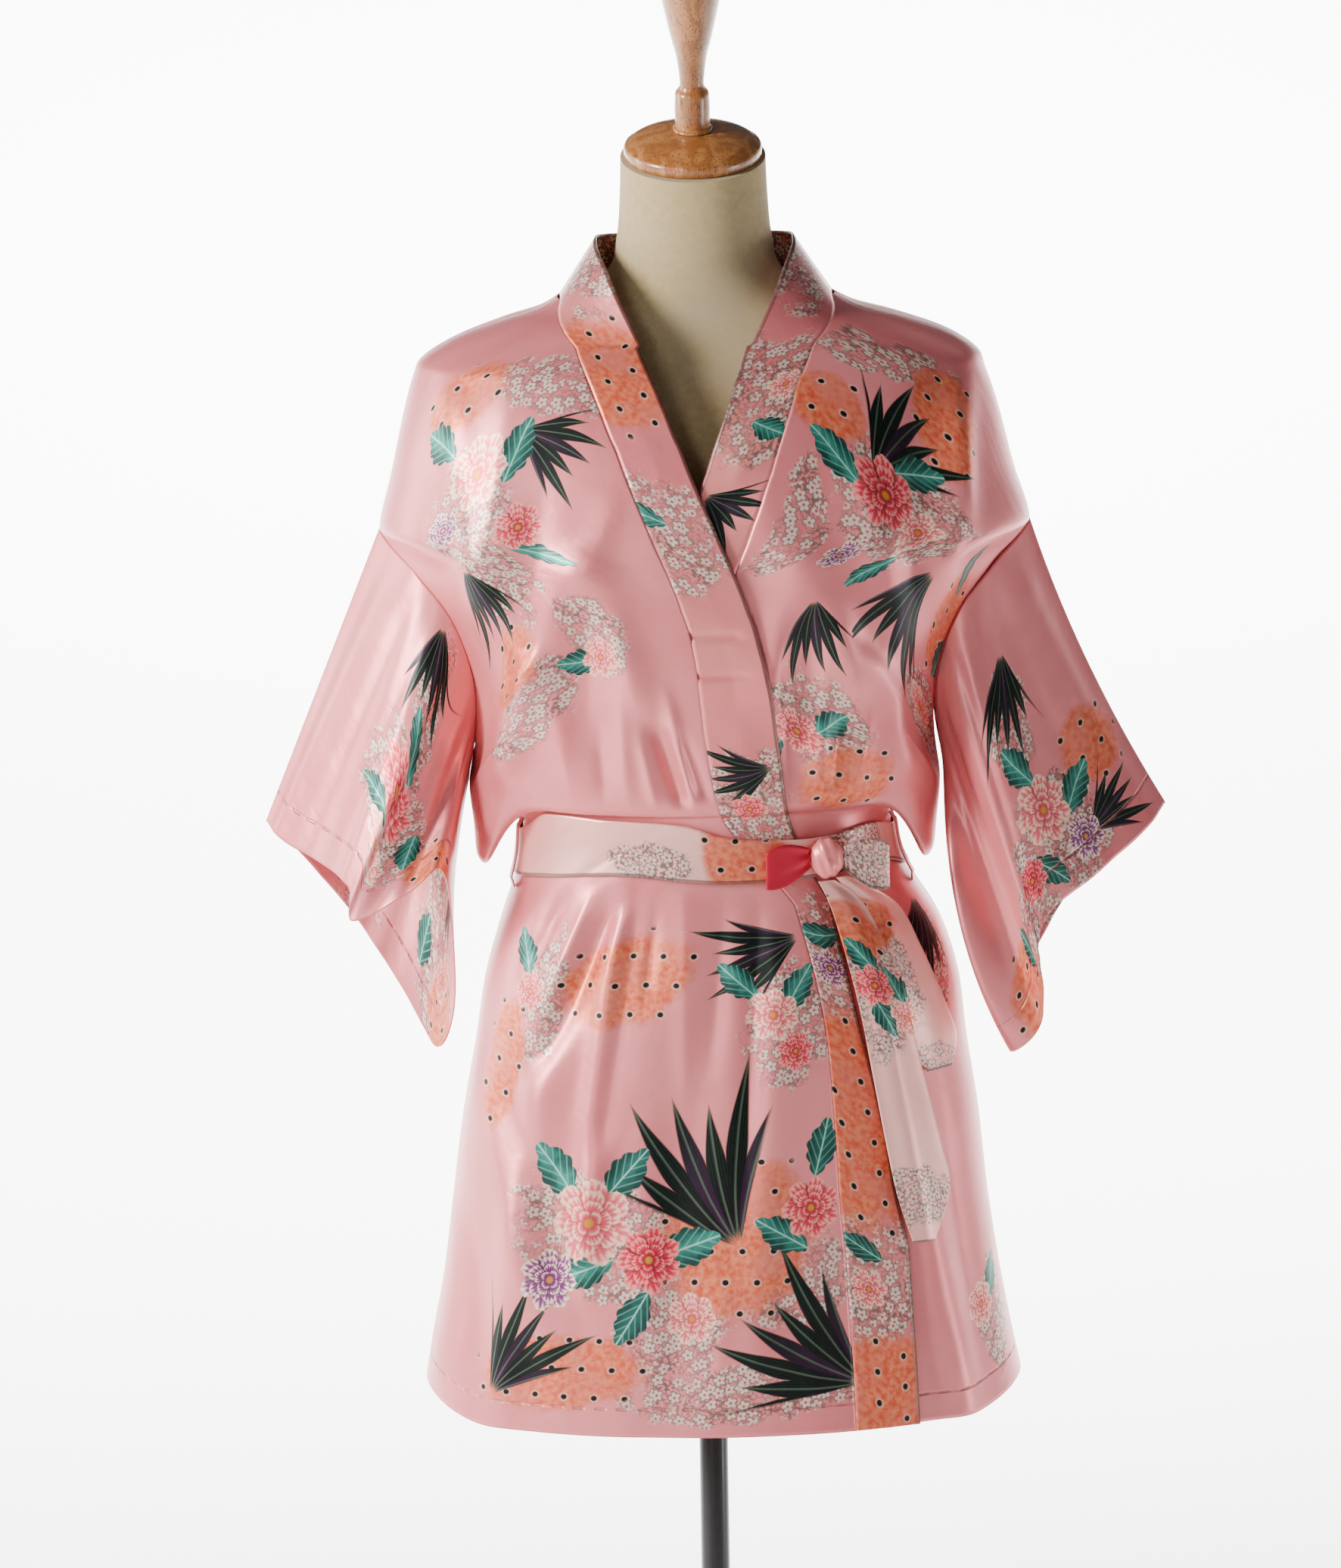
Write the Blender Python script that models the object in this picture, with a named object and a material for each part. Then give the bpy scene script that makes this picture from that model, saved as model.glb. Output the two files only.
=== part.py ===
# Short satin kimono robe, tied with its own belt, on a limbless dress form that stands on its own base.
# Metres, +Z up. The origin is the centre of the base's underside, and the front faces -Y.
# Every cloth piece is a grid over horizontal sections of the worn robe, thickened inward to one wall.
import math

import bmesh
import bpy
import numpy as np
from mathutils import Vector

# Cloth walls and the clearances between pieces
CLOTH = 0.0012
DOUBLE_CLOTH = 0.0016
SEAM_GAP = 0.0005
LAYER_INSET = 0.0042
HIDDEN_INSET = 0.0045
BELT_LIFT = 0.0034
LIFT_TURN = 2.0
SQUARENESS = 0.8
SIDE_GAP_TURN = 0.05
ARMHOLE_GAP = 0.0005

# The dress form
BASE_RADIUS = 0.170
BASE_HEIGHT = 0.022
POLE_RADIUS = 0.011
FORM_BOTTOM = 0.715
NECK_TOP = 1.468
NECK_TILT = math.radians(16.5)
METAL_GAP = 0.0003
FORM_SIDES = 28
TURNED_SIDES = 24

# Sections of the worn robe from hem to neck: height at the front, height at the sides,
# half-width on -X, half-width on +X, depth to the front, depth to the back
SECTIONS = [
    (0.525, 0.540, 0.2190, 0.2360, 0.1500, 0.1500),
    (0.560, 0.572, 0.2135, 0.2293, 0.1470, 0.1485),
    (0.610, 0.620, 0.2040, 0.2205, 0.1430, 0.1460),
    (0.675, 0.680, 0.1957, 0.2118, 0.1390, 0.1430),
    (0.740, 0.742, 0.1870, 0.2055, 0.1340, 0.1390),
    (0.800, 0.800, 0.1760, 0.1970, 0.1280, 0.1330),
    (0.850, 0.850, 0.1675, 0.1910, 0.1220, 0.1270),
    (0.890, 0.890, 0.1560, 0.1780, 0.1170, 0.1200),
    (0.920, 0.920, 0.1460, 0.1600, 0.1140, 0.1130),
    (0.945, 0.945, 0.1390, 0.1460, 0.1120, 0.1080),
    (0.970, 0.970, 0.1365, 0.1410, 0.1115, 0.1060),
    (0.986, 0.990, 0.1380, 0.1425, 0.1130, 0.1070),
    (0.990, 0.966, 0.1510, 0.1560, 0.1165, 0.1110),
    (0.996, 0.940, 0.1635, 0.1650, 0.1200, 0.1160),
    (1.006, 0.945, 0.1715, 0.1730, 0.1235, 0.1200),
    (1.022, 0.968, 0.1735, 0.1760, 0.1270, 0.1240),
    (1.044, 1.000, 0.1765, 0.1790, 0.1310, 0.1270),
    (1.075, 1.040, 0.1760, 0.1800, 0.1370, 0.1300),
    (1.105, 1.085, 0.1880, 0.1930, 0.1430, 0.1320),
    (1.140, 1.130, 0.2120, 0.2180, 0.1470, 0.1320),
    (1.170, 1.165, 0.2320, 0.2380, 0.1480, 0.1310),
    (1.193, 1.193, 0.2395, 0.2480, 0.1470, 0.1290),
    (1.235, 1.235, 0.2297, 0.2360, 0.1410, 0.1260),
    (1.280, 1.280, 0.2195, 0.2248, 0.1270, 0.1210),
    (1.308, 1.308, 0.2115, 0.2155, 0.1140, 0.1140),
    (1.321, 1.321, 0.2045, 0.2100, 0.1060, 0.1080),
    (1.3355, 1.3355, 0.1800, 0.1880, 0.0955, 0.1010),
    (1.348, 1.348, 0.1470, 0.1530, 0.0870, 0.0950),
    (1.3565, 1.3565, 0.1185, 0.1220, 0.0790, 0.0890),
    (1.365, 1.365, 0.1030, 0.1040, 0.0700, 0.0840),
]
TOP_ROW = len(SECTIONS) - 1

# Armhole, by section row: distance from the middle, distance in front of and behind the side
ARMHOLE = [
    (16, 0.1765, 0.0008),
    (17, 0.1700, 0.0300),
    (18, 0.1700, 0.0500),
    (19, 0.1850, 0.0560),
    (20, 0.2120, 0.0450),
    (21, 0.2395, 0.0008),
]
UNDERARM_ROW = ARMHOLE[0][0]
ARMHOLE_TOP_ROW = ARMHOLE[-1][0]

# Rows at which the cloth is laid out: each section, with half steps at the blouse and the armhole
HALF_STEPS = [12.5, 13.5, *(row + 0.5 for row in range(UNDERARM_ROW, ARMHOLE_TOP_ROW))]
ROWS = sorted([*range(TOP_ROW + 1), *HALF_STEPS])

# Front edge of the upper front (-X side, worn on top): height, edge x, band seam x
TOP_EDGE = [
    (0.525, 0.1545, 0.1060),
    (0.660, 0.1470, 0.1000),
    (0.702, 0.1380, 0.0960),
    (0.757, 0.1290, 0.0930),
    (0.837, 0.1110, 0.0860),
    (0.920, 0.0940, 0.0660),
    (0.950, 0.0760, 0.0420),
    (0.985, 0.0630, 0.0140),
    (1.043, 0.0560, 0.0020),
    (1.109, 0.0450, -0.0050),
    (1.146, 0.0350, -0.0140),
    (1.207, 0.0110, -0.0380),
    (1.2635, -0.0120, -0.0600),
    (1.297, -0.0260, -0.0740),
    (1.3355, -0.0430, -0.0890),
    (1.348, -0.0560, -0.0990),
    (1.3565, -0.0660, -0.1020),
    (1.365, -0.0700, -0.1005),
]

# Front edge of the lower front (+X side, worn underneath): height, edge x, band seam x
UNDER_EDGE = [
    (0.525, -0.1250, -0.0770),
    (0.740, -0.1050, -0.0580),
    (0.837, -0.0900, -0.0430),
    (0.920, -0.0700, -0.0240),
    (0.985, -0.0600, -0.0130),
    (1.043, -0.0520, -0.0050),
    (1.109, -0.0420, 0.0060),
    (1.146, -0.0320, 0.0160),
    (1.207, -0.0100, 0.0380),
    (1.2465, 0.0050, 0.0530),
    (1.308, 0.0260, 0.0730),
    (1.3355, 0.0370, 0.0860),
    (1.348, 0.0500, 0.0980),
    (1.3565, 0.0600, 0.1030),
    (1.365, 0.0660, 0.1015),
]

# Free edge of the band round the neck, from the front to the middle of the back: x, y, z
NECK_BAND = [
    (0.0400, -0.0935, 1.3355),
    (0.0550, -0.0790, 1.3660),
    (0.0660, -0.0560, 1.3900),
    (0.0740, -0.0040, 1.4060),
    (0.0640, 0.0420, 1.4070),
    (0.0000, 0.0720, 1.4040),
]

# Stations along the band: side, section row, turn at the back of the neck
BAND_START_ROW = 26
BACK_TURNS = [100, 112, 124, 138, 152, 166, 180]
BAND_STATIONS = [
    *((-1, row, 0) for row in ROWS),
    *((-1, TOP_ROW, turn) for turn in BACK_TURNS),
    *((1, TOP_ROW, turn) for turn in reversed(BACK_TURNS[:-1])),
    *((1, row, 0) for row in reversed(ROWS)),
]

# Large folds on the front: upper height and x, lower height and x, half-width, rise
FRONT_FOLDS = [
    (1.060, -0.036, 1.000, -0.016, 0.007, -0.0060),
    (1.055, -0.018, 1.005, 0.000, 0.006, -0.0035),
    (1.190, -0.088, 1.060, -0.132, 0.020, 0.0080),
    (1.110, -0.120, 1.010, -0.152, 0.013, 0.0080),
    (1.110, 0.122, 1.010, 0.152, 0.013, 0.0060),
    (1.185, -0.082, 1.075, -0.042, 0.018, 0.0060),
    (1.190, 0.073, 1.060, 0.046, 0.018, 0.0060),
    (1.190, 0.080, 1.070, 0.112, 0.018, 0.0070),
    (1.310, 0.196, 1.110, 0.176, 0.012, 0.0050),
    (1.300, -0.180, 1.130, -0.168, 0.016, 0.0050),
    (0.925, -0.066, 0.800, -0.125, 0.010, -0.0070),
    (0.925, -0.052, 0.740, -0.082, 0.009, -0.0060),
    (0.925, -0.060, 0.640, -0.098, 0.012, 0.0070),
    (0.900, 0.060, 0.560, 0.030, 0.020, 0.0050),
    (0.880, -0.110, 0.530, -0.165, 0.016, 0.0060),
    (0.880, 0.125, 0.530, 0.190, 0.014, 0.0060),
    (0.850, -0.010, 0.530, -0.040, 0.022, -0.0040),
]

# Large folds on the back, in the same columns
BACK_FOLDS = [
    (1.300, -0.150, 1.060, -0.110, 0.018, 0.0060),
    (1.290, 0.140, 1.080, 0.095, 0.016, 0.0060),
    (1.080, -0.040, 1.005, -0.030, 0.010, 0.0050),
    (1.070, 0.030, 1.005, 0.040, 0.009, -0.0050),
    (1.060, 0.090, 1.005, 0.080, 0.010, 0.0045),
    (0.925, -0.070, 0.530, -0.120, 0.016, 0.0080),
    (0.925, -0.030, 0.650, -0.050, 0.011, -0.0060),
    (0.925, 0.015, 0.530, 0.025, 0.017, 0.0070),
    (0.925, 0.060, 0.560, 0.100, 0.013, -0.0060),
    (0.900, 0.100, 0.530, 0.165, 0.016, 0.0070),
]

# Cuff of the -X sleeve, its front edge raised: place round the cuff, x, y, z, bow in x, bow in y
RAISED_CUFF = [
    (0.00, 0.3307, 0.000, 0.9713, 0.000, 0.000),
    (0.08, 0.3150, -0.022, 0.9580, 0.000, 0.000),
    (0.16, 0.2830, -0.055, 0.9450, 0.000, -0.006),
    (0.22, 0.2655, -0.078, 0.9330, 0.000, -0.010),
    (0.27, 0.2640, -0.084, 0.9090, 0.000, -0.008),
    (0.34, 0.2250, -0.086, 0.9270, 0.000, 0.006),
    (0.40, 0.1960, -0.084, 0.9480, 0.000, 0.000),
    (0.45, 0.1900, -0.040, 0.8950, 0.004, -0.010),
    (0.50, 0.1915, 0.002, 0.8230, 0.006, -0.004),
    (0.55, 0.2070, 0.030, 0.7880, 0.004, 0.004),
    (0.63, 0.2330, 0.052, 0.8300, 0.000, 0.008),
    (0.73, 0.2660, 0.064, 0.8800, 0.000, 0.010),
    (0.86, 0.3030, 0.040, 0.9330, 0.000, 0.004),
]

# Cuff of the +X sleeve, its front layer hanging to the tip, in the same columns
HANGING_CUFF = [
    (0.00, 0.3493, 0.000, 0.9736, -0.008, 0.000),
    (0.08, 0.3277, -0.026, 0.9530, -0.006, 0.000),
    (0.16, 0.2900, -0.056, 0.9270, -0.004, -0.004),
    (0.22, 0.2600, -0.076, 0.9090, 0.000, -0.010),
    (0.28, 0.2480, -0.082, 0.8820, 0.000, -0.010),
    (0.34, 0.2512, -0.078, 0.8550, 0.000, 0.002),
    (0.41, 0.2480, -0.070, 0.8150, -0.004, -0.010),
    (0.48, 0.2277, -0.056, 0.7950, -0.016, -0.040),
    (0.54, 0.2300, -0.010, 0.8100, -0.006, 0.010),
    (0.64, 0.2480, 0.040, 0.8450, 0.000, 0.012),
    (0.76, 0.2800, 0.060, 0.8950, 0.000, 0.010),
    (0.88, 0.3200, 0.036, 0.9420, 0.000, 0.004),
]

# Belt round the waist by turn from the front: turn, middle height, width
BELT = [
    (-180.0, 0.9640, 0.044),
    (-120.0, 0.9620, 0.046),
    (-90.0, 0.9500, 0.033),
    (-76.0, 0.9520, 0.036),
    (-58.0, 0.9615, 0.047),
    (-26.0, 0.9645, 0.041),
    (-6.0, 0.9610, 0.042),
    (8.0, 0.9550, 0.034),
    (25.0, 0.9540, 0.030),
    (40.0, 0.9550, 0.028),
    (60.0, 0.9600, 0.028),
    (90.0, 0.9500, 0.032),
    (120.0, 0.9620, 0.044),
    (180.0, 0.9640, 0.044),
]

# Belt tails from the knot down: middle x, z, width, lift off the skirt
FRONT_TAIL = [
    (0.0900, 0.9383, 0.012, 0.0140),
    (0.1080, 0.9150, 0.026, 0.0150),
    (0.1290, 0.8520, 0.035, 0.0150),
    (0.1420, 0.7900, 0.038, 0.0140),
    (0.1530, 0.7370, 0.041, 0.0130),
    (0.1600, 0.7000, 0.040, 0.0125),
    (0.1590, 0.6640, 0.016, 0.0120),
]
REAR_TAIL = [
    (0.1012, 0.9402, 0.009, 0.0140),
    (0.1290, 0.9150, 0.028, 0.0080),
    (0.1440, 0.8800, 0.036, 0.0080),
    (0.1600, 0.8350, 0.040, 0.0070),
    (0.1690, 0.8080, 0.038, 0.0065),
    (0.1740, 0.7880, 0.018, 0.0065),
]

# Knot and bow
KNOT_X = 0.0905
KNOT_Z = 0.9550
KNOT_HALF = (0.0125, 0.0085, 0.0165)
KNOT_LIFT = 0.0146
LOOP_HALF_DEPTH = 0.0031
LOOP_GAP = 0.0002
LOOP_TURN_BACK = 0.38

# Belt loop at each side seam: height, lift off the robe
BELT_LOOP_TURN = 80
BELT_LOOP_WIDTH_TURN = 3.5
BELT_LOOP = [
    (0.9230, 0.0006),
    (0.9280, 0.0034),
    (0.9320, 0.0050),
    (0.9500, 0.0050),
    (0.9680, 0.0050),
    (0.9720, 0.0034),
    (0.9760, 0.0006),
]

# Linen torso: height, half-width, half-depth
TORSO = [
    (FORM_BOTTOM, 0.1500, 0.0980),
    (0.722, 0.1560, 0.1040),
    (0.800, 0.1600, 0.1100),
    (0.860, 0.1490, 0.1050),
    (0.920, 0.1290, 0.0960),
    (0.968, 0.1200, 0.0920),
    (1.020, 0.1260, 0.0980),
    (1.080, 0.1380, 0.1080),
    (1.150, 0.1500, 0.1180),
    (1.210, 0.1580, 0.1120),
    (1.270, 0.1760, 0.0960),
    (1.300, 0.1840, 0.0800),
    (1.318, 0.1900, 0.0680),
    (1.3339, 0.1800, 0.0620),
    (1.3464, 0.1470, 0.0605),
    (1.3549, 0.1185, 0.0600),
    (1.3645, 0.0900, 0.0595),
    (1.385, 0.0640, 0.0580),
    (1.410, 0.0575, 0.0565),
    (1.440, 0.0550, 0.0550),
    (NECK_TOP, 0.0540, 0.0540),
]


def smooth_step(value):
    """Ease a value from 0 to 1."""
    value = min(max(value, 0.0), 1.0)
    return value * value * (3 - 2 * value)


def smooth_row(table, place):
    """Read a table at a fractional row, on a smooth curve through its rows."""
    place = min(max(place, 0.0), len(table) - 1.0)
    row = min(int(place), len(table) - 2)
    part = place - row
    before, start, end, after = (
        np.array(table[min(max(row + step, 0), len(table) - 1)], float) for step in (-1, 0, 1, 2)
    )
    return 0.5 * (
        2 * start
        + (end - before) * part
        + (2 * before - 5 * start + 4 * end - after) * part ** 2
        + (3 * start - before - 3 * end + after) * part ** 3
    )


def read_at(table, value):
    """Read a table at a value of its rising first column."""
    keys = [row[0] for row in table]
    return smooth_row(table, float(np.interp(value, keys, range(len(keys)))))


def fold_rise(x, z, folds):
    """Rise of the large folds at one place on the front or the back."""
    rise = 0.0
    for high, high_x, low, low_x, half_width, height in folds:
        down = (high - z) / (high - low)
        line_x = high_x + (low_x - high_x) * down
        ends = smooth_step((down + 0.15) / 0.3) * smooth_step((1.15 - down) / 0.3)
        rise += height * ends * math.exp(-(((x - line_x) / half_width) ** 2))
    return rise


def armhole_end(row):
    """Reach and depth of the armhole's edge at a section row, or nothing outside it."""
    if not UNDERARM_ROW <= row <= ARMHOLE_TOP_ROW:
        return None
    return smooth_row(ARMHOLE, row - UNDERARM_ROW)[1:]


def layer_inset(x, row):
    """How far the lower front lies inside the upper front at one place."""
    front_z = smooth_row(SECTIONS, row)[0]
    past_edge = x - read_at(TOP_EDGE, front_z)[1]
    hidden = smooth_step((-0.020 - past_edge) / 0.040)
    return LAYER_INSET * smooth_step((0.045 - past_edge) / 0.035) + HIDDEN_INSET * hidden


def body(row, turn, inset=0.0):
    """Point of the worn robe at a section row and a turn from the front, -180 to 180."""
    front_z, side_z, left, right, front, back = smooth_row(SECTIONS, row)
    if turn > 180:
        turn -= 360
    side = -1 if turn < 0 else 1
    half_width = left if side < 0 else right
    is_back = abs(turn) > 90
    share = (180 - abs(turn) if is_back else abs(turn)) / 90
    end = armhole_end(row)
    end_turn = math.pi / 2
    if end is not None:
        reach = end[0] * half_width / left
        end_turn = math.asin(min(reach / half_width, 1.0))
    angle = share * end_turn
    facing = 1 if is_back else -1
    depth = back if is_back else front
    x = side * half_width * math.sin(angle)
    y = facing * depth * max(math.cos(angle), 0.0) ** SQUARENESS
    z = front_z + (side_z - front_z) * smooth_step((share - 0.56) / 0.40)
    outward = Vector((x / half_width ** 2, y / depth ** 2, 0)).normalized()
    rise = fold_rise(x, z, BACK_FOLDS if is_back else FRONT_FOLDS) * smooth_step((0.97 - share) / 0.15)
    point = Vector((x, y, z)) + outward * (rise - inset)
    if end is not None:
        ring_depth = depth * max(math.cos(end_turn), 0.0) ** SQUARENESS
        point.y -= facing * (ring_depth - end[1]) * smooth_step((share - 0.66) / 0.34)
    return point


def turn_of(x, row):
    """Turn from the front at which the robe's front has this x."""
    _, _, left, right, _, _ = smooth_row(SECTIONS, row)
    half_width = left if x < 0 else right
    end = armhole_end(row)
    end_turn = 90.0
    if end is not None:
        end_turn = math.degrees(math.asin(min(end[0] / left, 1.0)))
    turn = math.degrees(math.asin(min(max(x / half_width, -1.0), 1.0)))
    return turn * 90.0 / end_turn


def add_object(name, mesh, colour, roughness, metallic=0.0):
    """Link a mesh as an object with its own material."""
    material = bpy.data.materials.new(name)
    material.use_nodes = True
    shader = material.node_tree.nodes["Principled BSDF"]
    shader.inputs["Base Color"].default_value = (*colour, 1)
    shader.inputs["Roughness"].default_value = roughness
    shader.inputs["Metallic"].default_value = metallic
    mesh.materials.append(material)
    mesh.shade_smooth()
    item = bpy.data.objects.new(name, mesh)
    bpy.context.scene.collection.objects.link(item)
    return item


def add_cloth(name, columns, rows, place, colour, wall=CLOTH, closed=False):
    """Make a cloth piece: a grid of points placed by a function, thickened inward."""
    sheet = bmesh.new()
    steps = columns if closed else columns - 1
    grid = [[sheet.verts.new(place(i / steps, j / (rows - 1))) for i in range(columns)] for j in range(rows)]
    for lower, upper in zip(grid, grid[1:]):
        for i in range(steps):
            after = (i + 1) % columns
            sheet.faces.new((lower[i], lower[after], upper[after], upper[i]))
    mesh = bpy.data.meshes.new(name)
    sheet.to_mesh(mesh)
    sheet.free()
    item = add_object(name, mesh, colour, 0.35)
    thicken = item.modifiers.new("wall", "SOLIDIFY")
    thicken.thickness = wall
    thicken.offset = -1
    return item


def add_turned(name, profile, colour, roughness, metallic=0.0):
    """Turn a profile of radii and heights, listed from the top down, about the Z axis."""
    line = bmesh.new()
    points = [line.verts.new((radius, 0, height)) for radius, height in profile]
    for first, second in zip(points, points[1:]):
        line.edges.new((first, second))
    mesh = bpy.data.meshes.new(name)
    line.to_mesh(mesh)
    line.free()
    item = add_object(name, mesh, colour, roughness, metallic)
    screw = item.modifiers.new("turn", "SCREW")
    screw.steps = TURNED_SIDES
    screw.render_steps = TURNED_SIDES
    screw.use_merge_vertices = True
    screw.merge_threshold = 0.0001
    return item


def panel_place(start_of, end_of, inset_of=None):
    """Make the placing function of a panel between two turns that change with the row."""

    def place(across, up):
        row = ROWS[round(up * (len(ROWS) - 1))]
        turn = start_of(row) + (end_of(row) - start_of(row)) * across
        point = body(row, turn)
        if inset_of is None:
            return point
        return body(row, turn, inset_of(point.x, row))

    return place


def seam_turn(table, row, column, step=0.0):
    """Turn of a front edge or band seam at a section row."""
    front_z = smooth_row(SECTIONS, row)[0]
    return turn_of(read_at(table, front_z)[column] + step, row)


def band_place(along, across):
    """Place the neckband: up the upper front, round the neck and down the lower front."""
    station = round(along * (len(BAND_STATIONS) - 1))
    side, row, back_turn = BAND_STATIONS[station]
    table = TOP_EDGE if side < 0 else UNDER_EDGE
    points = []
    for column in (2, 1):
        turn = seam_turn(table, row, column)
        point = body(row, turn)
        points.append(body(row, turn, layer_inset(point.x, row)) if side > 0 else point)
    seam, edge = points
    neck_place = row - BAND_START_ROW
    if back_turn > 90:
        seam = body(TOP_ROW, side * back_turn)
        neck_place = 3 + 2 * (back_turn - 90) / 90
    if neck_place > 0:
        x, y, z = smooth_row(NECK_BAND, neck_place)
        edge = Vector((side * x, y, z))
    middle = (seam + edge) / 2
    if neck_place <= 0:
        turn = (seam_turn(table, row, 1) + seam_turn(table, row, 2)) / 2
        middle = body(row, turn, layer_inset(middle.x, row) if side > 0 else 0.0)
    seam = seam + (middle - seam).normalized() * SEAM_GAP * 2
    return seam.lerp(middle, across * 2) if across <= 0.5 else middle.lerp(edge, across * 2 - 1)


def sleeve_place(side, cuff):
    """Make the placing function of a sleeve: round its section, and down from armhole to cuff."""
    wrapped = [*cuff, (1.0, *cuff[0][1:])]
    ratio = SECTIONS[ARMHOLE_TOP_ROW][3 if side > 0 else 2] / SECTIONS[ARMHOLE_TOP_ROW][2]

    def place(around, down):
        share = around * 2 if around <= 0.5 else 2 - around * 2
        row = ARMHOLE_TOP_ROW - share * (ARMHOLE_TOP_ROW - UNDERARM_ROW)
        facing = -1 if around <= 0.5 else 1
        reach, depth = armhole_end(row)
        start = Vector((side * (reach * ratio + ARMHOLE_GAP), facing * depth, smooth_row(SECTIONS, row)[1]))
        start.z -= ARMHOLE_GAP / 2
        _, x, y, z, bow_x, bow_y = read_at(wrapped, around)
        end = Vector((side * x, y, z))
        belly = 4 * down * (1 - down)
        return start.lerp(end, down) + Vector((side * bow_x, bow_y, 0)) * belly

    return place


def lifted(turn, height, lift):
    """Point at a turn and a height near the waist, lifted straight off the robe."""
    row = float(np.interp(height, [entry[0] for entry in SECTIONS], range(len(SECTIONS))))
    point = body(row, turn)
    along = body(row, turn + LIFT_TURN) - body(row, turn - LIFT_TURN)
    outward = Vector((along.y, -along.x, 0)).normalized()
    return Vector((point.x, point.y, height)) + outward * lift


def belt_place(around, up):
    """Place the belt round the waist, outside the robe."""
    turn = around * 360 - 180
    _, middle_z, width = read_at(BELT, turn)
    height = middle_z + (up - 0.5) * width
    return lifted(turn, height, BELT_LIFT)


def tail_place(table):
    """Make the placing function of a belt tail that hangs in front of the skirt."""

    def place(across, up):
        middle_x, height, width, lift = smooth_row(table, (1 - up) * (len(table) - 1))
        x = middle_x + (across - 0.5) * width
        row = float(np.interp(height, [entry[0] for entry in SECTIONS], range(len(SECTIONS))))
        point = body(row, turn_of(x, row))
        return Vector((x, point.y - lift, height))

    return place


def front_surface(x, height):
    """Point of the robe's front at an x and a height below the belt's top."""
    row = float(np.interp(height, [entry[0] for entry in SECTIONS], range(len(SECTIONS))))
    return body(row, turn_of(x, row))


def bow_place(side, reach, height, slope):
    """Make the placing function of a flattened bow loop, from the knot out and back."""
    start_x = KNOT_X + side * (KNOT_HALF[0] + LOOP_GAP)

    def place(around, up):
        angle = 2 * math.pi * around
        along = (1 - math.cos(angle)) / 2
        x = start_x + side * reach * along
        apart = LOOP_HALF_DEPTH * math.copysign(abs(math.sin(angle)) ** 0.5, math.sin(angle))
        y = front_surface(KNOT_X, KNOT_Z).y - KNOT_LIFT + LOOP_TURN_BACK * (x - start_x) - apart
        spread = 0.45 + 0.55 * math.sin(math.pi * 0.72 * along)
        return Vector((x, y, KNOT_Z + (up - 0.5) * height * spread - slope * reach * along))

    if side > 0:
        return place
    return lambda around, up: place(1 - around, up)


def belt_loop_place(side):
    """Make the placing function of the thin loop that carries the belt at a side seam."""

    def place(across, up):
        height, lift = smooth_row(BELT_LOOP, up * (len(BELT_LOOP) - 1))
        turn = side * BELT_LOOP_TURN + (across - 0.5) * BELT_LOOP_WIDTH_TURN
        return lifted(turn, height, lift + CLOTH)

    return place


for old in list(bpy.data.objects):
    bpy.data.objects.remove(old, do_unlink=True)

# Base and pole
add_turned(
    "base",
    [(0, BASE_HEIGHT), (POLE_RADIUS * 2.2, BASE_HEIGHT), (BASE_RADIUS * 0.9, 0.012), (BASE_RADIUS, 0.007),
     (BASE_RADIUS, 0.0), (0, 0.0)],
    (0.03, 0.03, 0.032), 0.4, 0.8,
)
add_turned(
    "pole",
    [(0, FORM_BOTTOM - METAL_GAP), (POLE_RADIUS, FORM_BOTTOM - METAL_GAP), (POLE_RADIUS, BASE_HEIGHT + METAL_GAP),
     (0, BASE_HEIGHT + METAL_GAP)],
    (0.12, 0.12, 0.125), 0.25, 1.0,
)

# Linen torso, closed at its bottom and at the tilted neck top
torso = bmesh.new()
rings = []
for height, half_width, half_depth in TORSO:
    ring = []
    for step in range(FORM_SIDES):
        angle = 2 * math.pi * step / FORM_SIDES
        y = half_depth * math.sin(angle)
        lean = math.tan(NECK_TILT) * y * smooth_step((height - TORSO[-3][0]) / (NECK_TOP - TORSO[-3][0]))
        ring.append(torso.verts.new((half_width * math.cos(angle), y, height + lean)))
    rings.append(ring)
for lower, upper in zip(rings, rings[1:]):
    for step in range(FORM_SIDES):
        after = (step + 1) % FORM_SIDES
        torso.faces.new((lower[step], lower[after], upper[after], upper[step]))
torso.faces.new(reversed(rings[0]))
torso.faces.new(rings[-1])
torso_mesh = bpy.data.meshes.new("torso")
torso.to_mesh(torso_mesh)
torso.free()
add_object("torso", torso_mesh, (0.66, 0.56, 0.42), 0.9)

# Turned wood cap and finial, which lean forward with the neck's top
lean = bpy.data.objects.new("neck_top", None)
lean.location = (0, 0, NECK_TOP + METAL_GAP)
lean.rotation_euler = (NECK_TILT, 0, 0)
bpy.context.scene.collection.objects.link(lean)
cap = add_turned(
    "neck_cap",
    [(0, 0.0200), (0.016, 0.0195), (0.030, 0.0172), (0.042, 0.0132), (0.0490, 0.0095), (0.0514, 0.0070),
     (0.0514, 0.0012), (0.0505, 0.0), (0, 0.0)],
    (0.42, 0.22, 0.09), 0.35,
)
cap.parent = lean
finial = add_turned(
    "finial",
    [(0, 0.1600), (0.0080, 0.1583), (0.0150, 0.1525), (0.0205, 0.1425), (0.0228, 0.1320), (0.0214, 0.1215),
     (0.0155, 0.0940), (0.0112, 0.0765), (0.0091, 0.0585), (0.0100, 0.0525), (0.0128, 0.0485), (0.0132, 0.0340),
     (0.0126, 0.0235), (0.0140, 0.0218), (0.0145, 0.0203), (0, 0.0203)],
    (0.42, 0.22, 0.09), 0.35,
)
finial.parent = lean

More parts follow.
